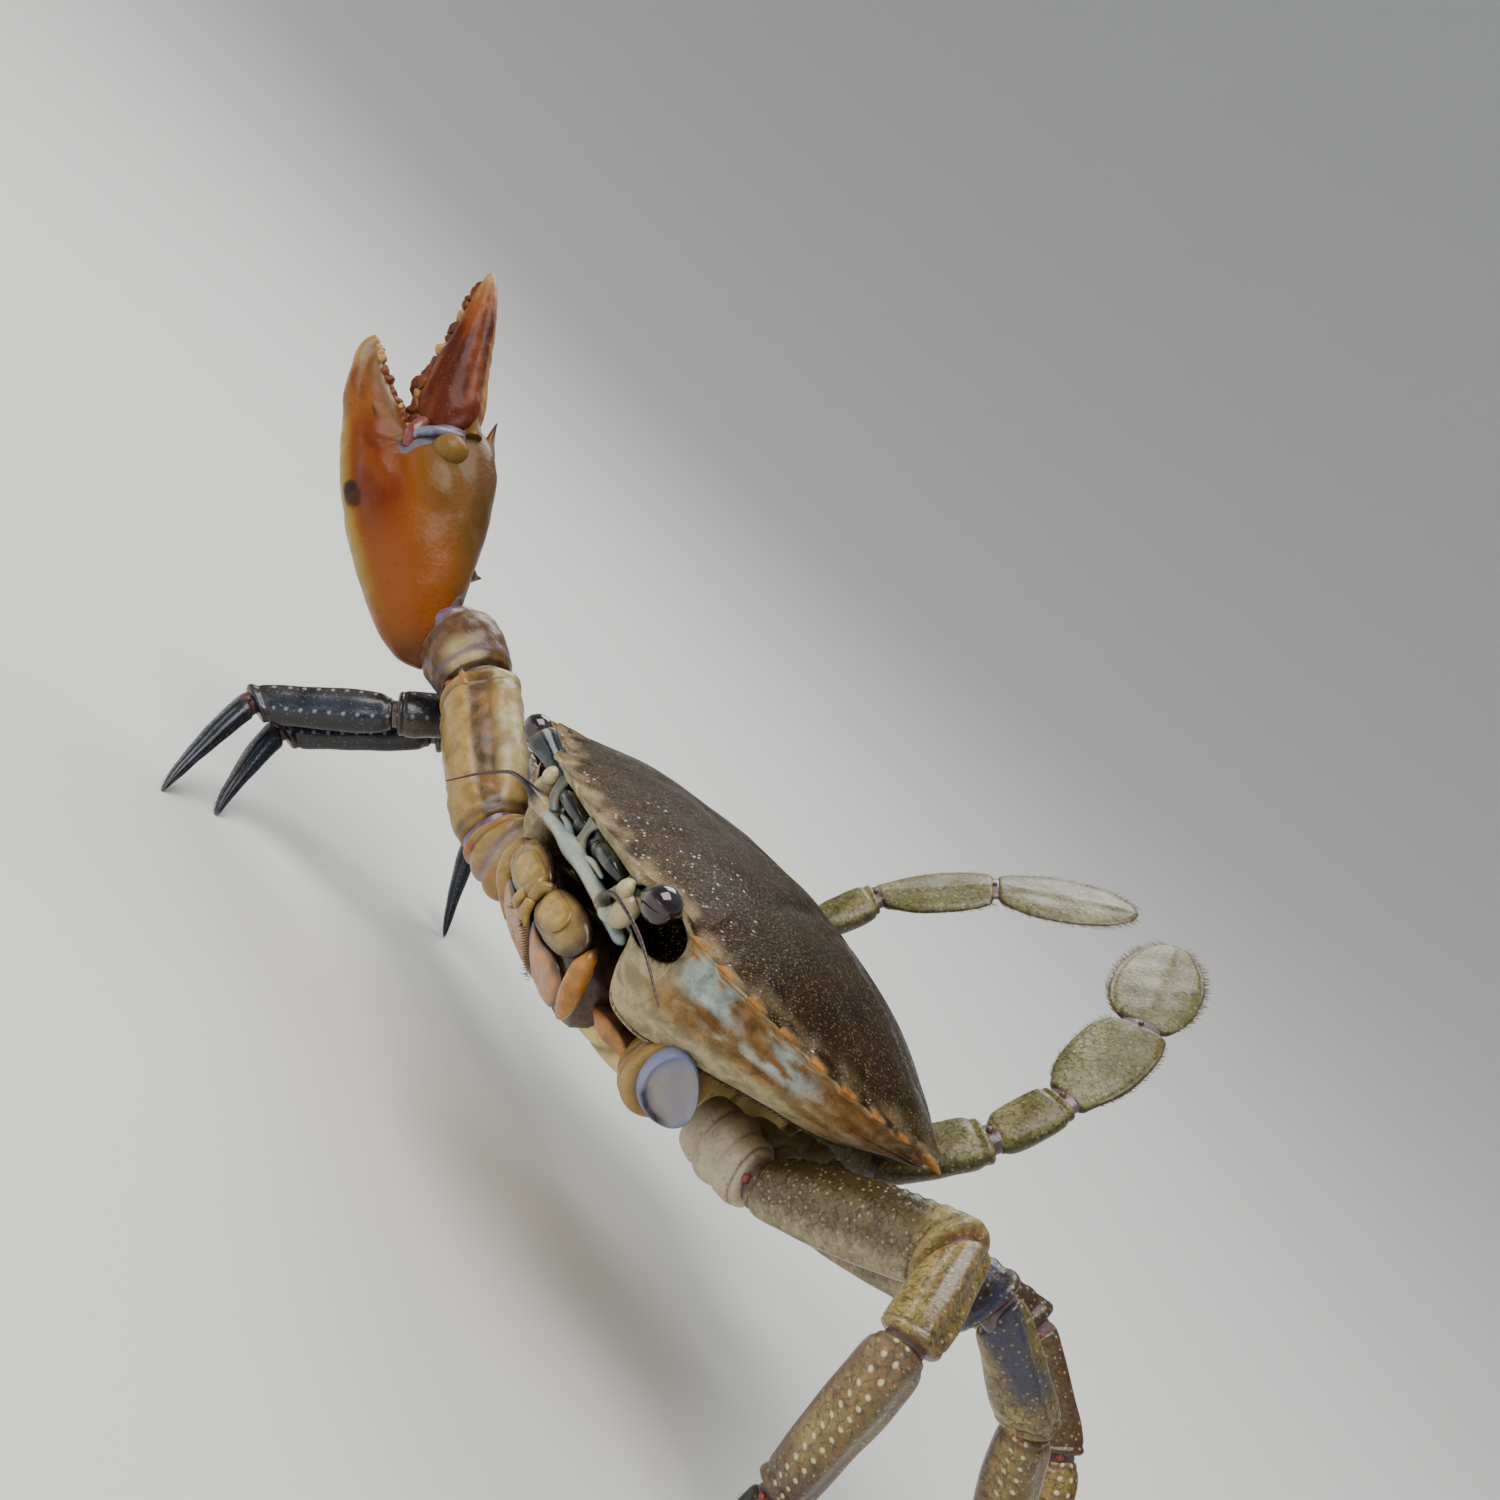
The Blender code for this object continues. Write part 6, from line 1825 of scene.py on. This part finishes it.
collar = [
    ellipsoid(on_hand(55.4, 11.5, 0), (7, 7, 7.4), tone(128, 116, 132)),
    tube(
        on_hand((54.5, 56.2, 54.6, 51.8), (1, 5, 10.5, 16.6), (-6.5, -8.2, -9.6, -8)),
        [0.9, 1.3, 1.4, 0.8], [0.8, 1.2, 1.2, 0.7],
        lambda grid, share, turn: layered(
            tone(150, 160, 182), grid, (0.7 * ramp(wander(grid, 2, 181), 0, 0.9), tone(96, 90, 116)),
        ), up=HAND_OUT,
    ),
    tube(
        on_hand((53.6, 57.4, 61.4), (1.4, 4.4, 8.6), (-6, -7.4, -6)),
        [1.8, 2.4, 1.6], [1.5, 2, 1.3], tone(158, 72, 60), up=HAND_OUT,
    ),
]
make_piece("claw_hinge_skin", collar, SKIN_FINISH)
make_piece("wrist_skin", joint_skin(
    [CLAW_JOINTS[2], WRIST, on_hand(30, 0)], 1, CLAW_HINT, (7.6, 7), tone(140, 124, 150), tone(150, 90, 56),
), SKIN_FINISH)


# Stump of the left claw.
# The left claw is missing. What is left of its base is two folded rings, closed by a pale scar disc.

STUMP_ROOT = np.array((31, -20.5, -26))
STUMP_END = np.array((46.5, -27, -24.5))
STUMP_HINT = np.array((0.2, 0.5, -0.3))
DISC_UP = np.array((-0.44, -0.55, 0.71))
DISC_SHAPE = np.array((
    (-2.3, 0.9), (-1.4, 0.99), (0, 1), (1, 0.985), (1.9, 0.95), (2.35, 0.89), (2.3, 0.84), (1.9, 0.79),
    (1.7, 0.7), (1.75, 0.5), (1.7, 0.3), (1.6, 0.1),
))
DISC_HALF_LENGTH = 7.6
DISC_HALF_WIDTH = 5.9
SCAR_WHITE = tone(180, 176, 186)
SCAR_RIM = tone(150, 160, 196)
SCAR_NAVY = tone(46, 52, 84)
stump_heading, stump_thin, _ = limb_axes(STUMP_ROOT, STUMP_END, STUMP_HINT)
stump_face = STUMP_END - stump_heading * 2.4
stump_base = tube(
    [STUMP_ROOT, STUMP_ROOT * 0.55 + stump_face * 0.45, STUMP_ROOT * 0.2 + stump_face * 0.8, stump_face],
    [8.4, 9, 9.1, 8.7], [6.4, 7, 7.4, 7.1],
    lambda grid, share, turn: layered(
        CLAW_ORANGE_CREAM, grid,
        (0.8 * ramp(wander(grid, 6, 191), 0, 1), CLAW_OCHRE),
        (0.85 * (band(share, 0.42, 0.03) + band(share, 0.7, 0.03)), CLAW_FOLD_AND_SHADE),
        (0.7 * band(share, 0.56, 0.06) * ramp(looking(grid, (0.3, -0.8, 0.6)), 0.2, 0.9), SKIN_LILAC),
        (0.7 * band(share, 0.98, 0.02), tone(98, 70, 84)),
    ), up=stump_thin, rows=70, columns=60, round_ends=(0.12, 0.08),
    relief=lambda grid, share, turn: (
        0.15 * wander(grid, 4, 192) - 0.8 * (band(share, 0.42, 0.04) + band(share, 0.7, 0.04))
    ),
)
make_piece("stump_rings", [stump_base], CLAW_ARM_FINISH, ["lost_claw_base"])
turn = circle(56)
lift, size = DISC_SHAPE.T[..., None]
disc = STUMP_END + places_at(
    lift, DISC_HALF_LENGTH * size * np.cos(turn),
    DISC_HALF_WIDTH * size * (np.sin(turn) + 0.1 * np.cos(2 * turn)),
) @ limb_axes(STUMP_ROOT, STUMP_END, DISC_UP)
disc += stump_heading * (0.14 * wander(disc, 3.6, 193))[..., None]
disc_front = ramp(np.arange(len(DISC_SHAPE))[:, None], 3, 5)
low_edge = looking(disc, (0.2, -0.35, -0.9))
disc_paint = layered(
    SCAR_RIM, disc,
    (disc_front * ramp(size, 0.86, 0.74), SCAR_WHITE),
    (0.5 * disc_front * ramp(wander(disc, 4, 194), 0, 1), tone(190, 178, 160)),
    (disc_front * ramp(low_edge, 0.55, 0.9) * ramp(size, 0.62, 0.82), SCAR_NAVY),
)
STUMP_FINISH = shell_finish(
    "scar_disc", (3, 0.3, tone(182, 176, 170)), (1, 0.3, 0.25, 0.35, tone(150, 140, 130)),
    (0.3, 0.5), (0.8, 0.14), coat=0.2, shine=0.25,
)
make_piece("stump_disc", [skin(disc, disc_paint)], STUMP_FINISH, ["lost_claw_stump"])


# Bristles.
# Short stiff hairs stand in rows along the toes, round the paddles, on the mouthparts, beside the
# tail and under the shell's edge. Each is a thin cone whose foot is sunk in the hard surface.

BRISTLE_FOOT = 0.15
BRISTLE_SIZES = {"Root Radius": 0.12 * MM, "Tip Radius": 0.025 * MM}
BRISTLE_SPREAD = 0.13
BRISTLE_LENGTHS = (0.7, 1.15)
BRISTLE_SHADES = (0.6, 1.3)
BRISTLE_BAND = 0.16
FLOOR_CLEARANCE = 0.6
UNDER_EDGE_ROW = -6
WIDEST_GAP = 4
BRISTLE_DARK = tone(74, 54, 36)
BRISTLE_TAN = tone(150, 118, 74)
draw = np.random.default_rng(23)
feet, leans, lengths, tints = [], [], [], []


def bristle_row(places, headings, length, colour):
    """Hairs at places in millimetres, each leaning along its heading, with uneven lengths."""
    headings = unit(np.broadcast_to(headings, places.shape))
    headings = unit(headings + draw.normal(0, BRISTLE_SPREAD, headings.shape))
    feet.append(places)
    leans.append(headings)
    lengths.append(length * draw.uniform(*BRISTLE_LENGTHS, len(places)))
    shades = draw.uniform(*BRISTLE_SHADES, (len(places), 1))
    tints.append(colour * shades ** (1, 1, 1, 0))


def along_limb(joints, index, hint, profile, edge, shares, length, colour, scale=1, bow=0):
    """Row of hairs down one edge of a limb's piece; edge is 1 for its back and -1 for its underside.

    shares holds the first and last share of the length and the count of hairs.
    """
    shares = np.linspace(*shares)
    start, end = joints[index:index + 2]
    heading, thin, tall = limb_axes(start, end, hint)
    keys, heights, widths = np.array(profile).T
    rise = edge * 0.97 * scale * eased(shares, keys, heights) + 4 * bow * shares * (1 - shares)
    across = draw.uniform(-BRISTLE_BAND, BRISTLE_BAND, len(shares)) * scale * eased(shares, keys, widths)
    places = start + np.outer(shares, end - start) + np.outer(rise, tall) + np.outer(across, thin)
    places = places[places[:, 2] > FLOOR_LEVEL + FLOOR_CLEARANCE]
    bristle_row(places, tall * edge + heading * 0.8, length, colour)


for side, joints, hint, scale in toe_lines:
    tint = BRISTLE_TAN if side == "left" else tone(96, 92, 92)
    for edge in (1, -1):
        along_limb(
            joints, 0, hint, LEG_PROFILES["toe"], edge, (0.1, 0.88, 46), 1.5, tint, scale=scale, bow=TOE_BOW,
        )
for side in (1, -1):
    for edge in (1, -1):
        for index, shares, length in ((4, (0.06, 0.985, 110), 2.3), (3, (0.15, 0.95, 60), 1.7)):
            profile = SWIM_PROFILES[SWIM_PIECES[index]]
            along_limb(swim_joints[side], index, SWIM_HINT, profile, edge, shares, length, BRISTLE_TAN)
    shares = np.linspace(0, 1, 26)[:, None]
    inner_low = np.array((0.7, -34.2, -36.6)) * (1 - shares) + np.array((0.9, -46.4, -25.6)) * shares
    bristle_row(mirrored(side, inner_low), (0, -0.8, -0.6), 1.5, BRISTLE_TAN)
    palp = np.array((3.4, -46.2, -27)) + np.array((-1, -1.4, 3.6)) * shares
    bristle_row(mirrored(side, palp), (0.3 * side, -0.9, -0.7), 2, BRISTLE_DARK)
    rows_used = np.linspace(18, 85, 60).astype(int)
    tail_out = places_at(outward_y, outward_z)[rows_used]
    tail_side = side * tail_half_width[rows_used, None]
    bristle_row(
        np.hstack((0.98 * tail_side, tail_line[rows_used] + 0.3 * tail_out)),
        np.hstack((np.sign(tail_side), 0.4 * tail_out)), 1.2, BRISTLE_TAN,
    )
under_edge = shell_grid[UNDER_EDGE_ROW]
chosen = (outline_share > 0.1) & (outline_share < 0.8)
edge_feet = under_edge[chosen]
for offset in (0.25, 0.75):
    between = edge_feet[:-1] * (1 - offset) + edge_feet[1:] * offset
    between = between[np.linalg.norm(np.diff(edge_feet, axis=0), axis=1) < WIDEST_GAP]
    inward = unit((0, 2, -30) - between)
    bristle_row(between, inward + (0, 0, -0.6), 1.7, BRISTLE_DARK)

feet, leans, lengths, tints = (np.concatenate(rows) for rows in (feet, leans, lengths, tints))
bristle_mesh = bpy.data.meshes.new("bristle_feet")
bristle_mesh.from_pydata((MIDDLE + (feet - leans * BRISTLE_FOOT) * MM).tolist(), [], [])
give(bristle_mesh, "lean", "FLOAT_VECTOR", leans)
give(bristle_mesh, "length", "FLOAT", lengths * MM)
give(bristle_mesh, "paint", "FLOAT_COLOR", tints)
BRISTLE_FINISH = shell_finish(
    "bristle", (1.2, 0.3, tone(60, 44, 30)), (0.6, 0.3, 0.2, 0.3, tone(190, 160, 110)),
    (0.4, 0.6), (0.5, 0.02), coat=0.1,
)


def build_bristle_tree():
    """Thin cone on every point, turned along its lean and as long as its length says."""
    tree = bpy.data.node_groups.new("bristles", "GeometryNodeTree")
    tree.interface.new_socket("Geometry", in_out="INPUT", socket_type="NodeSocketGeometry")
    for size, value in BRISTLE_SIZES.items():
        tree.interface.new_socket(size, in_out="INPUT", socket_type="NodeSocketFloat").default_value = value
    tree.interface.new_socket("Geometry", in_out="OUTPUT", socket_type="NodeSocketGeometry")
    entry = tree.nodes.new("NodeGroupInput").outputs
    leave = tree.nodes.new("NodeGroupOutput").inputs
    cone = put(tree, "GeometryNodeMeshCone", {
        "Vertices": 5, "Radius Bottom": entry["Root Radius"], "Radius Top": entry["Tip Radius"], "Depth": 1,
    })
    lean = put(tree, "GeometryNodeInputNamedAttribute", {"Name": "lean"}, data_type="FLOAT_VECTOR")
    length = put(tree, "GeometryNodeInputNamedAttribute", {"Name": "length"}, data_type="FLOAT")
    turned = put(tree, "FunctionNodeAlignRotationToVector", {"Vector": lean.outputs["Attribute"]}, axis="Z")
    size = put(tree, "ShaderNodeCombineXYZ", {"X": 1, "Y": 1, "Z": length.outputs["Attribute"]})
    hairs = put(tree, "GeometryNodeInstanceOnPoints", {
        "Points": entry["Geometry"], "Instance": cone.outputs["Mesh"],
        "Rotation": turned.outputs["Rotation"], "Scale": size.outputs[0],
    })
    solid = put(tree, "GeometryNodeRealizeInstances", {"Geometry": hairs.outputs["Instances"]})
    dressed = put(tree, "GeometryNodeSetMaterial", {
        "Geometry": solid.outputs["Geometry"], "Material": BRISTLE_FINISH,
    })
    tree.links.new(dressed.outputs["Geometry"], leave["Geometry"])
    return tree


bristles = new_object("bristles", bristle_mesh)
grow = bristles.modifiers.new("grow", "NODES")
grow.node_group = build_bristle_tree()
for item in grow.node_group.interface.items_tree:
    if item.in_out == "INPUT" and item.name in BRISTLE_SIZES:
        grow[item.identifier] = BRISTLE_SIZES[item.name]
grown = bpy.data.meshes.new_from_object(bristles.evaluated_get(bpy.context.evaluated_depsgraph_get()))
bristles.modifiers.clear()
bristles.data = grown
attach(bristles, "root")
